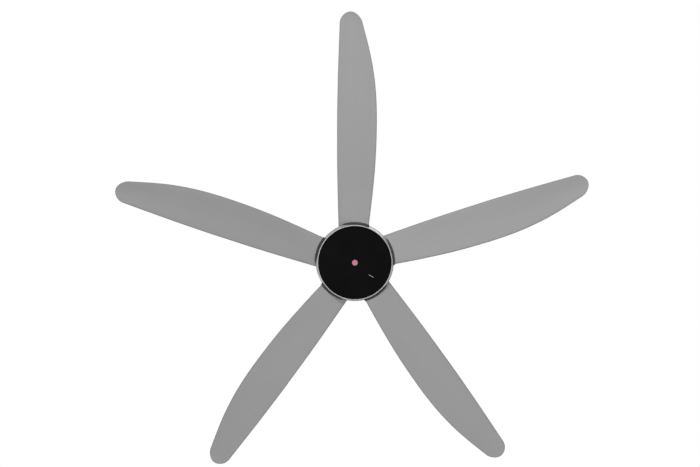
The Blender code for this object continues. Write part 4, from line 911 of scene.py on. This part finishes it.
class FAN_OT_lower_cover(bpy.types.Operator):
    """Makes the lower cover with its lip, its tucked wall, its screw posts and a notch for each blade"""

    bl_idname = "fan.lower_cover"
    bl_label = "Make lower cover"

    def execute(self, context):
        hub, blades = context.scene.fan_hub, context.scene.fan_blades
        rim, top = low_of("lower_cover").z, high_of("lower_cover").z
        past_top = top + OVERRUN
        pocket, floor = low_of("cover_screw_1").z + SCREW_POCKET, high_of("cover_disc").z + FIT
        hole, head = SCREW_RADIUS + FIT, SCREW_HEAD_RADIUS + FIT
        bore = turned([(0.0, rim), (head, rim), (head, pocket), (hole, pocket), (hole, past_top),
                       (0.0, past_top)], 32, closed=False)
        post = eased([(hole, floor + POST_BORE, 0), (POST_RADIUS + POST_FLARE, floor + POST_FOOT, 0),
                      (POST_RADIUS, floor + POST_WALL, POST_FILLET), (POST_RADIUS, top, POST_EASE),
                      (hole, top, POST_EASE)])
        places = (blades.count, *polar("cover_screw_1"))
        mesh = carved(cover_mesh(hub, blades, rim), set_out(bore, "cover", *places))
        mesh = united(mesh, set_out(turned(post, 32), "cover", *places), sharp=40)
        show("lower_cover_painted", evenly_shaded(mesh), "cover", "rotor", "silver_plastic", "lower_cover")
        return {"FINISHED"}


class FAN_OT_cover_disc(bpy.types.Operator):
    """Makes the black disc with its plain badge and its indicator bar"""

    bl_idname = "fan.cover_disc"
    bl_label = "Make disc, badge and bar"

    def execute(self, context):
        hub = context.scene.fan_hub
        rim, top = low_of("cover_disc").z, high_of("cover_disc").z
        low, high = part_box("centre_badge")
        radius, seat, thickness = high.x, high.z + FIT, high.z - low.z
        outer = eased([(radius + FIT, seat, 0), (radius + FIT, rim, DISC_HOLE_EASE),
                       (hub.disc, rim, DISC_EASE), (hub.disc, top, DISC_EASE), (0.0, top, 0)],
                      closed=False, steps=8)
        disc = turned([(0.0, seat)] + outer, 256, closed=False)
        centre, turn = middle_of("indicator_bar"), Matrix.Rotation(BAR_TURN, 4, "Z")
        slot = self.bar_outline(BAR_HALF_LENGTH + FIT, BAR_HALF_WIDTH + FIT)
        opening = at(centre.x, centre.y, rim) @ turn
        disc = carved(disc, plate([slot], 2 * (thickness + FIT), CUTTER_EDGE, opening))
        show("disc_gloss", disc, "disc", "rotor", "gloss_black", "cover_disc")
        badge = eased([(BADGE_FLAT, low.z, 0), (radius, low.z, BADGE_EASE), (radius, high.z, BADGE_BACK_EASE),
                       (0.0, high.z, 0)], closed=False)
        badge = turned([(0.0, low.z)] + badge, 96, closed=False)
        show("badge_plain", badge, "badge", "rotor", "badge_pink", "centre_badge")
        bar = self.bar_outline(BAR_HALF_LENGTH, BAR_HALF_WIDTH)
        bar = plate([bar], thickness, BAR_EDGE, at(*centre) @ turn)
        show("bar_plain", bar, "bar", "rotor", "pale_grey", "indicator_bar")
        return {"FINISHED"}

    def bar_outline(self, half_length, half_width):
        return rectangle(half_length, half_width, half_width * BAR_CORNER_SHARE)


# Housing, coupling cover, rod and canopy

HOUSING_WALL, HOUSING_BORE, HOUSING_FLAT = 0.002, 0.017, 0.040
# The housing's shoulder is a quarter of an oval from the crown's radius down by the shoulder's height
HOUSING_CROWN, HOUSING_SHOULDER, SHOULDER_STEPS = 0.060, 0.034, 24
# Heights over the housing's lower edge where its outer line has its last two points
HOUSING_SKIRT, HOUSING_HEM = 0.010, 0.0005
HOUSING_SCREWS = 3
BELL_WALL, BELL_COLLAR = 0.0018, 0.0015
# Shares of the radius and the height
bell_line = ((0.46, 1.0), (0.64, 0.92), (0.76, 0.70), (0.83, 0.42), (1.0, 0.0))
canopy_line = ((1.0, 0.0), (1.0, 0.18), (1.0, 0.36), (0.94, 0.62), (0.78, 0.84), (0.50, 0.97))
ROD_TOP_EASE, ROD_BORE_EASE = 0.0008, 0.0005
# How far canopy collar, canopy mouth and grommet waist stand off the rod
CANOPY_COLLAR, CANOPY_MOUTH, GROMMET_WAIST, GROMMET_EASE = 0.0045, 0.0030, 0.0022, 0.0008


class FAN_OT_housing(bpy.types.Operator):
    """Makes the upper housing and the bell over the coupling"""

    bl_idname = "fan.housing"
    bl_label = "Make housing and coupling cover"

    def execute(self, context):
        low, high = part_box("upper_housing")
        wide = high.x
        outer = [(HOUSING_BORE, high.z), (HOUSING_FLAT, high.z)]
        for k in range(SHOULDER_STEPS + 1):
            a = TURN / 4 * k / SHOULDER_STEPS
            outer.append((HOUSING_CROWN + (wide - HOUSING_CROWN) * math.sin(a),
                          high.z - HOUSING_SHOULDER * (1 - math.cos(a))))
        outer += [(wide, low.z + HOUSING_SKIRT), (wide, low.z + HOUSING_HEM)]
        shell = turned(walled(outer, HOUSING_WALL), 256)
        show("housing_painted", shell, "paint", "downrod", "silver_metal", "upper_housing")
        low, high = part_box("coupling_cover")
        tall = high.z - low.z
        outer = [(context.scene.fan_hanger.rod + FIT + BELL_COLLAR, high.z)]
        outer += through([(high.x * r, low.z + tall * z) for r, z in bell_line])
        bell = turned(walled(outer, BELL_WALL), 192)
        show("coupling_bell", bell, "paint", "coupling_cover", "silver_metal", "coupling_cover")
        return {"FINISHED"}


class FAN_OT_rod(bpy.types.Operator):
    """Makes the downrod, the canopy and its grommet"""

    bl_idname = "fan.rod"
    bl_label = "Make rod and canopy"

    def execute(self, context):
        hanger = context.scene.fan_hanger
        low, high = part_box("downrod")
        bore = hanger.rod - hanger.rod_wall
        profile = eased([(bore, high.z, ROD_BORE_EASE), (hanger.rod, high.z, ROD_TOP_EASE),
                         (hanger.rod, low.z, ROD_TOP_EASE), (bore, low.z, ROD_BORE_EASE)])
        show("downrod_painted", turned(profile, 96), "paint", "downrod", "silver_metal", "downrod")
        low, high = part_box("canopy")
        tall, foot = high.z - low.z, low.z
        outer = through([(high.x * r, high.z - tall * z) for r, z in canopy_line])
        outer += [(hanger.rod + CANOPY_COLLAR, foot), (hanger.rod + CANOPY_MOUTH, foot)]
        shell = turned(walled(outer, hanger.canopy_wall), 224)
        show("canopy_painted", shell, "paint", "canopy", "silver_metal", "canopy")
        low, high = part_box("canopy_grommet")
        waist, lip, bore, ease = hanger.rod + GROMMET_WAIST, high.x, hanger.rod + FIT, GROMMET_EASE
        lower, upper = foot - FIT, foot + hanger.canopy_wall + FIT
        profile = eased([(bore, high.z, ease), (waist, high.z, ease), (lip, upper, ease), (waist, upper, 0),
                         (waist, lower, 0), (lip, lower, ease), (waist, low.z, ease), (bore, low.z, ease)])
        show("grommet_moulded", turned(profile, 96), "rubber", "canopy", "rubber", "canopy_grommet")
        return {"FINISHED"}


# Hanging parts

BOLT_RADIUS, BOLT_HEAD_RADIUS, BOLT_HEAD_HEIGHT, BOLT_WASHER_RADIUS = 0.003, 0.0058, 0.004, 0.00609
PIN_WIRE, PIN_EYE = 0.0005, 0.0022
# Shares of a split pin's eye, reach and wire: how far a leg's end is out and down, and its bend out
PIN_SPREAD, PIN_END, PIN_BEND = 1.3, 1.15, 1.4
# The eye's points, the step at which they start, the steps of a whole turn and the eye's height as a share
EYE_POINTS, EYE_START, EYE_STEPS, EYE_RISE = 17, 0.6, 18.2, 1.05
CLEVIS_HEAD, CLEVIS_EASE = 0.0025, 0.0006
STUD_RADIUS, STUD_NUT_RADIUS, STUD_NUT_END, STUD_WASHER_RADIUS = 0.0025, 0.0046, 0.0042, 0.0052
# A washer's far face and the nut's near face, from the face that the washer lies on
WASHER_END, NUT_START = 0.0011, 0.0012

SHEET, SHEET_EDGE, SHEET_LAP, BOLT_HOLE = 0.003, 0.0004, 0.8, 0.0033
BRACKET_CORNER, CHEEK_CORNER = 0.005, 0.010
SLOT_INSET, SLOT_HALF_LENGTH = 0.008, 0.007
JAW = 0.016
ROLLER_GROOVE, ROLLER_FLANGE, ROLLER_NECK, ROLLER_EASE = 0.0113, 0.0175, 0.014, 0.0008
SHACKLE_INNER, SHACKLE_OUTER, SHACKLE_WIDTH = 0.0143, 0.0173, 0.022

# Shares of a hexagon's corner radius, of its flats' half width and of its height
HEX_GROWTH, HEX_FACE, HEX_BACK, HEAD_CHAMFER, NUT_CHAMFER = 1.01, 0.92, 0.95, 0.22, 0.14
HEAD_EASE, NUT_BEVEL, NUT_BEVEL_DEPTH = 0.0003, 0.0005, 0.0004
THREAD_PITCH, THREAD_DEPTH_SHARE, SCREW_PITCH = 0.001, 0.55, 0.0008
# The thread starts at a share of the bolt's length and ends in a cone to a share of its radius
THREAD_START, BOLT_POINT, BOLT_TIP = 0.55, 0.55, 0.0008
# Shares of a pan screw: the depths of the recess in its middle and its corner, and the radii of its floor and
# its mouth; where the dome starts and its power; the radii of the thread's root and of the tip
RECESS_MIDDLE, RECESS_CORNER, RECESS_FLOOR, RECESS_MOUTH = 0.45, 0.4, 0.35, 0.6
DOME_START, DOME_POWER, DOME_STEPS = 0.7, 0.6, 8
SCREW_ROOT, SCREW_TIP = 0.8, 0.5

# Places of the studs on the arm and under the blade, along and across the blade
arm_studs = ((0.056, -0.016), (0.056, 0.016))
blade_studs = ((0.0845, -0.018), (0.0845, 0.018), (0.096, 0.0))
ARM_DEPTH = 0.006


def threaded(radius, start, end):
    """Profile points of a thread from start down to end, its crests at radius."""
    count = max(int((start - end) / THREAD_PITCH), 1)
    points = []
    for k in range(count):
        z = start - (start - end) * k / count
        points += [(radius, z), (radius - THREAD_PITCH * THREAD_DEPTH_SHARE, z - THREAD_PITCH / 2)]
    return points + [(radius - THREAD_PITCH / 2, end)]


def hex_bolt(under_head, tip):
    """A hexagon bolt on Z, its head above under_head and its thread down to tip."""
    radius, head, height = BOLT_RADIUS, BOLT_HEAD_RADIUS * HEX_GROWTH, BOLT_HEAD_HEIGHT
    flats, top = BOLT_HEAD_RADIUS * math.cos(TURN / 12), under_head + height
    thread_start = under_head - (under_head - tip) * THREAD_START
    profile = [(0.0, top), (flats * HEX_FACE, top), (head, top - height * HEAD_CHAMFER),
               (head, under_head + HEAD_EASE), (flats * HEX_BACK, under_head), (radius, under_head),
               (radius, thread_start), *threaded(radius, thread_start, tip + BOLT_TIP),
               (radius * BOLT_POINT, tip), (0.0, tip)]
    return turned(profile, 72, closed=False, flats=flats, sharp=40)


def hex_nut(radius, head_radius, low, high):
    """A hexagon nut on Z between two heights."""
    flats, head = head_radius * math.cos(TURN / 12), head_radius * HEX_GROWTH
    chamfer, mouth = (high - low) * NUT_CHAMFER, radius + NUT_BEVEL
    profile = [(radius, high - NUT_BEVEL_DEPTH), (mouth, high), (flats * HEX_FACE, high),
               (head, high - chamfer), (head, low + chamfer), (flats * HEX_FACE, low), (mouth, low),
               (radius, low + NUT_BEVEL_DEPTH)]
    return turned(profile, 72, flats=flats, sharp=40)


def washer(bore, radius, low, high):
    ease = (high - low) / 4
    corners = [(bore, high, ease), (radius, high, ease), (radius, low, ease), (bore, low, ease)]
    return turned(eased(corners, steps=2), 48)


def split_pin(place):
    """A split pin that stands on Z at a place: an eye above, two legs and their ends bent apart."""
    reach, wire, eye = 2 * BOLT_RADIUS, PIN_WIRE, PIN_EYE
    leg = [(0, -eye * PIN_SPREAD, -reach * PIN_END), (0, -wire * PIN_BEND, -reach), (0, -wire, 0),
           (0, -wire, reach)]
    turns = [-TURN / 4 - TURN * (k + EYE_START) / EYE_STEPS for k in range(EYE_POINTS)]
    loop = [(0, eye * math.cos(a), reach + eye * EYE_RISE + eye * math.sin(a)) for a in turns]
    line = leg + loop + [(x, -y, z) for x, y, z in reversed(leg)]
    shape = drawn_curve([line], False, dimensions="3D", bevel_depth=wire, bevel_resolution=2,
                        use_fill_caps=True)
    return shifted(from_shape(shape, "split_pin", sharp=50), place)


class FAN_OT_hanger(bpy.types.Operator):
    """Makes the ceiling bracket, the roller and the shackle"""

    bl_idname = "fan.hanger"
    bl_label = "Make bracket and shackle"

    def execute(self, context):
        low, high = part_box("ceiling_bracket")
        bolt_z, half_long, half_wide = middle_of("bracket_nut").z, high.x, high.y
        face = [rectangle(half_long, half_wide, BRACKET_CORNER)]
        for side in (-1, 1):
            slot = rectangle(BOLT_HOLE, SLOT_HALF_LENGTH, BOLT_HOLE, side * (half_long - SLOT_INSET))
            face.append(slot[::-1])
        meshes = [plate(face, SHEET, SHEET_EDGE, at(z=-SHEET / 2))]
        tall = -SHEET * SHEET_LAP - low.z
        middle = -SHEET * SHEET_LAP - tall / 2
        cheek = eased([(-half_wide, -tall / 2, CHEEK_CORNER), (half_wide, -tall / 2, CHEEK_CORNER),
                       (half_wide, tall / 2, 0), (-half_wide, tall / 2, 0)])
        hole = [(x, y + bolt_z - middle) for x, y in reversed(arc(BOLT_HOLE, 32)[:-1])]
        for side in (-1, 1):
            place = at(side * (JAW + SHEET / 2), 0, middle) @ STAND
            meshes.append(plate([cheek, hole], SHEET, SHEET_EDGE, place))
        show("bracket_plated", united(*meshes), "steel", "ceiling_mount", "steel", "ceiling_bracket")

        half, ease, bolt_place = JAW - FIT, ROLLER_EASE, at(z=bolt_z)
        profile = eased([(BOLT_HOLE, half, ease), (ROLLER_FLANGE, half, ease),
                         (ROLLER_FLANGE, ROLLER_GROOVE, ease), (ROLLER_NECK, ROLLER_GROOVE, 0),
                         (ROLLER_NECK, -ROLLER_GROOVE, 0), (ROLLER_FLANGE, -ROLLER_GROOVE, ease),
                         (ROLLER_FLANGE, -half, ease), (BOLT_HOLE, -half, ease)])
        roller = shifted(turned(profile, 96), bolt_place @ LIE_ALONG["X"])
        show("roller_moulded", roller, "rubber", "ceiling_mount", "rubber", "hanger_roller")

        foot = low_of("shackle").z - bolt_z
        outline = arc(SHACKLE_OUTER, 40, TURN / 2) + [(-SHACKLE_OUTER, foot), (-SHACKLE_INNER, foot)]
        outline += arc(SHACKLE_INNER, 40, TURN / 2)[::-1] + [(SHACKLE_INNER, foot), (SHACKLE_OUTER, foot)]
        strap = plate([outline], SHACKLE_WIDTH, SHEET_EDGE, bolt_place @ STAND)
        show("shackle_plated", strap, "steel", "shackle", "steel", "shackle")
        return {"FINISHED"}


class FAN_OT_fasteners(bpy.types.Operator):
    """Makes the bolts, nuts, washers and split pins of the hanging parts, and the clevis pin"""

    bl_idname = "fan.fasteners"
    bl_label = "Make bolts and pins"

    def execute(self, context):
        for i, (body, name) in enumerate((("ceiling_mount", "bracket"), ("shackle", "shackle"))):
            low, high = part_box(f"{name}_bolt")
            nut_low, nut_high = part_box(f"{name}_nut")
            height = middle_of(f"{name}_nut").z
            lie = at(z=height) @ LIE_ALONG["XY"[i]]
            bolt = shifted(hex_bolt(-low[i] - BOLT_HEAD_HEIGHT, -high[i]), lie @ FLIP)
            show(f"{name}_bolt_plated", bolt, "zinc", body, "zinc", f"{name}_bolt")
            nut = hex_nut(BOLT_RADIUS, BOLT_HEAD_RADIUS, nut_low[i] + NUT_START, nut_high[i])
            ring = washer(BOLT_RADIUS + FIT, BOLT_WASHER_RADIUS, nut_low[i], nut_low[i] + WASHER_END)
            show(f"{name}_nut_plated", shifted(united(nut, ring), lie), "zinc", body, "zinc", f"{name}_nut")
            spot = middle_of(f"{name}_cotter")
            place = at(spot.x, spot.y, height) @ Matrix.Rotation(TURN / 4 * i, 4, "Z")
            show(f"{name}_split_pin", split_pin(place), "zinc", body, "zinc", f"{name}_cotter")
        low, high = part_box("clevis_pin")
        height = middle_of("clevis_pin").z
        head, ease, under_head = high.z - height, CLEVIS_EASE, -low.x - CLEVIS_HEAD
        outline = eased([(0.0, -low.x, 0), (head, -low.x, ease), (head, under_head, ease / 3),
                         (BOLT_RADIUS, under_head, 0), (BOLT_RADIUS, -high.x, ease), (0.0, -high.x, 0)],
                        closed=False)
        lie = at(z=height) @ LIE_ALONG["X"] @ FLIP
        pin = shifted(turned(outline, 64, closed=False), lie)
        show("clevis_pin_plated", pin, "zinc", "downrod", "zinc", "clevis_pin")
        clip = split_pin(at(middle_of("clevis_cotter").x, 0, height))
        show("clevis_split_pin", clip, "zinc", "downrod", "zinc", "clevis_cotter")
        return {"FINISHED"}


def pan_screw(face, tip):
    """A pan-head screw on Z whose head lies on the far side of face from its tip."""
    radius, head_radius, height = SCREW_RADIUS, SCREW_HEAD_RADIUS, SCREW_HEAD_HEIGHT
    sense = 1 if tip < face else -1
    dome = [(head_radius * math.sin(a), face + sense * height * math.cos(a) ** DOME_POWER)
            for a in (TURN / 4 * k / DOME_STEPS for k in range(DOME_STEPS))]
    crown = dome[0][1]
    profile = [(0.0, crown - sense * height * RECESS_MIDDLE),
               (radius * RECESS_FLOOR, crown - sense * height * RECESS_CORNER),
               (radius * RECESS_MOUTH, crown)]
    profile += [p for p in dome if p[0] > radius * DOME_START] + [(head_radius, face), (radius, face)]
    z = face
    while sense * (z - tip) > 2 * SCREW_PITCH:
        profile += [(radius, z), (radius * SCREW_ROOT, z - sense * SCREW_PITCH / 2)]
        z -= sense * SCREW_PITCH
    profile += [(radius * SCREW_TIP, tip), (0.0, tip)]
    return turned(profile, 24, closed=False, sharp=40)


def stud_nuts(scene):
    """Nuts and washers on the five studs of the blade bracket that points along +X."""
    blades = scene.fan_blades
    blade_z = low_of("lower_cover").z + scene.fan_hub.depth
    arm_low = high_of("lower_cover").z - ARM_DEPTH
    pitched = at(z=blade_z) @ Matrix.Rotation(-blades.root_pitch, 4, "X")
    places = [at(x, y, arm_low) for x, y in arm_studs]
    places += [pitched @ at(x, y, -blades.thickness / 2) for x, y in blade_studs]
    meshes = []
    for place in places:
        meshes.append(shifted(washer(STUD_RADIUS + FIT, STUD_WASHER_RADIUS, -WASHER_END, -FIT), place))
        meshes.append(shifted(hex_nut(STUD_RADIUS, STUD_NUT_RADIUS, -STUD_NUT_END, -NUT_START), place))
    return united(*meshes)


class FAN_OT_small_hardware(bpy.types.Operator):
    """Sets out the screws of cover and housing, and the nuts on the blade brackets' studs"""

    bl_idname = "fan.small_hardware"
    bl_label = "Set out small hardware"

    def execute(self, context):
        count = context.scene.fan_blades.count
        low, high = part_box("cover_screw_1")
        screw = pan_screw(low.z + SCREW_HEAD_HEIGHT, high.z)
        screws = set_out(screw, "zinc", count, *polar("cover_screw_1"))
        show("cover_screws_plated", screws, "zinc", "rotor", "zinc",
             *[f"cover_screw_{i + 1}" for i in range(count)])
        low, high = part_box("housing_screw_1")
        screw = pan_screw(high.z - SCREW_HEAD_HEIGHT, low.z)
        screws = set_out(screw, "zinc", HOUSING_SCREWS, polar("housing_screw_1")[0], 0.0)
        show("housing_screws_plated", screws, "zinc", "downrod", "zinc",
             *[f"housing_screw_{i + 1}" for i in range(HOUSING_SCREWS)])
        nuts = set_out(stud_nuts(context.scene), "zinc", count, 0.0, -TURN / 4)
        show("stud_nuts_plated", nuts, "zinc", "rotor", "zinc")
        return {"FINISHED"}


class FAN_OT_carried_nodes(bpy.types.Operator):
    """Gives the CAD nodes that stay in view their finishes"""

    bl_idname = "fan.carried_nodes"
    bl_label = "Finish carried nodes"

    def execute(self, context):
        for finish, nodes in carried_finishes.items():
            for node in nodes:
                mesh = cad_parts[node].data
                mesh.materials.clear()
                mesh.materials.append(finishes[finish])
        return {"FINISHED"}


# Stage

# Each lamp's place from the disc, and its width; its power is the stage's setting of that name
lamps = {
    "key": ((0.4, -2.9, -4.0), 1.2),
    "left": ((-2.0, -1.6, -4.2), 1.2),
    "fill": ((1.5, 2.2, -4.2), 2.4),
    "top": ((1.4, -1.8, 3.6), 2.6),
    "side": ((-3.4, 2.4, 1.4), 2.4),
}
PICTURE_WIDTH, PICTURE_HEIGHT, SENSOR = 700, 467, 36
# The disc's middle in the picture, from its upper left corner
DISC_ACROSS, DISC_DOWN = 354.90, 262.75
FLOOR_HEIGHT, FLOOR_RADIUS, FLOOR_TONE = -6.5, 60, 0.50
# Up to the fade the floor glows by a share less than past it, and so keeps the fan's shadow
FADE_START, FADE_RUN, FADE_SHARE = 9.0, 14.0, 0.12
WORLD_ON_FAN = 0.33


class FAN_OT_stage(bpy.types.Operator):
    """Sets up the camera below the fan, the floor, the world and the lamps"""

    bl_idname = "fan.stage"
    bl_label = "Set the stage"

    def execute(self, context):
        scene, stage = context.scene, context.scene.fan_stage
        scene.view_settings.view_transform = "Standard"
        disc = Vector((0.0, 0.0, low_of("cover_disc").z))
        place_camera(scene, stage, disc)
        light_world(scene)
        pale_floor()
        for name, (place, width) in lamps.items():
            lamp(f"{name}_lamp", disc + Vector(place), disc, width, getattr(stage, name))
        return {"FINISHED"}


def place_camera(scene, stage, disc):
    """The picture's right is +X and its top is -Y, and the disc lies low and right of its centre."""
    bearing = Vector((math.cos(stage.bearing), -math.sin(stage.bearing), 0.0))
    back = bearing * math.sin(stage.tilt) + Vector((0, 0, -math.cos(stage.tilt)))
    axis_across = PICTURE_WIDTH * (0.5 - stage.shift_across)
    axis_down = PICTURE_HEIGHT / 2 + PICTURE_WIDTH * stage.shift_up
    focal = stage.lens / SENSOR * PICTURE_WIDTH
    aim = Vector(((DISC_ACROSS - axis_across) / focal, -(DISC_DOWN - axis_down) / focal, -1.0))
    look = aim.rotation_difference(Vector((0, 0, -1)))
    face = (-back).to_track_quat("-Z", "Y")
    up = face @ Vector((0, 1, 0))
    wanted = Vector((0, -1, 0)) - back * Vector((0, -1, 0)).dot(back)
    turn = up.angle(wanted)
    if up.cross(wanted).dot(back) < 0:
        turn = -turn
    upright = Quaternion(back, turn - stage.roll) @ face
    camera = bpy.data.cameras.new("photo_camera")
    camera.lens = stage.lens
    camera.sensor_width = SENSOR
    camera.shift_x, camera.shift_y = stage.shift_across, stage.shift_up
    camera.clip_start, camera.clip_end = 0.05, 100
    obj = linked("photo_camera", camera)
    obj.location = disc + back * stage.distance
    obj.rotation_mode = "QUATERNION"
    obj.rotation_quaternion = upright @ look
    scene.camera = obj


def seen_directly(tree):
    """One for camera, glossy and transmission rays."""
    path = tree.nodes.new("ShaderNodeLightPath")
    seen = Field(tree, path.outputs["Is Camera Ray"]).maths("MAXIMUM", path.outputs["Is Glossy Ray"])
    return seen.maths("MAXIMUM", path.outputs["Is Transmission Ray"])


def light_world(scene):
    """White where it is seen, and a dimmer even light on the fan."""
    world = bpy.data.worlds.new("studio")
    scene.world = world
    world.use_nodes = True
    tree = world.node_tree
    background = tree.nodes["Background"]
    background.inputs["Color"].default_value = (1, 1, 1, 1)
    feed(tree, background.inputs["Strength"], seen_directly(tree) * (1.0 - WORLD_ON_FAN) + WORLD_ON_FAN)


def pale_floor():
    """A wide floor far below the fan, white where it is seen, which keeps the fan's shadow."""
    shape = bmesh.new()
    bmesh.ops.create_circle(shape, cap_ends=True, radius=FLOOR_RADIUS, segments=96)
    bmesh.ops.translate(shape, verts=shape.verts, vec=(0, 0, FLOOR_HEIGHT))
    mesh = bpy.data.meshes.new("floor")
    shape.to_mesh(mesh)
    shape.free()
    material, tree, shader, place = principled("pale_floor", Roughness=0.9, Specular_IOR_Level=0.1,
                                               Base_Color=(FLOOR_TONE, FLOOR_TONE, FLOOR_TONE, 1))
    glow = add_node(tree, "ShaderNodeEmission", Strength=1.0)
    away = add_node(tree, "ShaderNodeVectorMath", {"operation": "LENGTH"})
    feed(tree, away.inputs[0], place)
    far = ((Field(tree, away.outputs["Value"]) - FADE_START) / FADE_RUN).clamped()
    share = seen_directly(tree) * (far * FADE_SHARE + (1.0 - FADE_SHARE))
    mix = tree.nodes.new("ShaderNodeMixShader")
    for slot, value in zip(mix.inputs, (share, shader.outputs[0], glow.outputs[0])):
        feed(tree, slot, value)
    feed(tree, tree.nodes["Material Output"].inputs["Surface"], mix.outputs[0])
    material.cycles.emission_sampling = "NONE"
    mesh.materials.append(material)
    return linked("floor", mesh)


def lamp(name, spot, target, width, energy):
    data = bpy.data.lights.new(name, "AREA")
    data.shape = "DISK"
    data.size = width
    data.energy = energy
    obj = linked(name, data)
    obj.location = spot
    obj.rotation_mode = "QUATERNION"
    obj.rotation_quaternion = (target - spot).to_track_quat("-Z", "Y")
    obj.visible_camera = False


# Panel and registration


class FAN_PT_sidebar(bpy.types.Panel):
    """Lists the fan's settings and its operators"""

    bl_idname = "FAN_PT_sidebar"
    bl_label = "Ceiling fan"
    bl_space_type = "VIEW_3D"
    bl_region_type = "UI"
    bl_category = "Ceiling fan"

    def draw(self, context):
        for name in settings_groups:
            box = self.layout.box()
            box.label(text=name.removeprefix("fan_").capitalize())
            settings = getattr(context.scene, name)
            for label in settings.__annotations__:
                box.prop(settings, label)
        for operator in operators:
            self.layout.operator(operator.bl_idname)


settings_groups = {
    "fan_blades": FanBladeSettings,
    "fan_hub": FanHubSettings,
    "fan_hanger": FanHangerSettings,
    "fan_stage": FanStageSettings,
}
operators = (FAN_OT_blades, FAN_OT_lower_cover, FAN_OT_cover_disc, FAN_OT_housing, FAN_OT_rod, FAN_OT_hanger,
             FAN_OT_fasteners, FAN_OT_small_hardware, FAN_OT_carried_nodes, FAN_OT_stage)


def register():
    for cls in (*settings_groups.values(), *operators, FAN_PT_sidebar):
        bpy.utils.register_class(cls)
    for name, cls in settings_groups.items():
        setattr(bpy.types.Scene, name, PointerProperty(type=cls))


def unregister():
    for name in settings_groups:
        delattr(bpy.types.Scene, name)
    for cls in reversed((*settings_groups.values(), *operators, FAN_PT_sidebar)):
        bpy.utils.unregister_class(cls)


def main():
    register()
    make_finishes(bpy.context.scene)
    bpy.ops.fan.stage()
    bpy.ops.fan.blades()
    bpy.ops.fan.lower_cover()
    bpy.ops.fan.cover_disc()
    bpy.ops.fan.housing()
    bpy.ops.fan.rod()
    bpy.ops.fan.hanger()
    bpy.ops.fan.fasteners()
    bpy.ops.fan.small_hardware()
    bpy.ops.fan.carried_nodes()


if __name__ == "__main__":
    main()
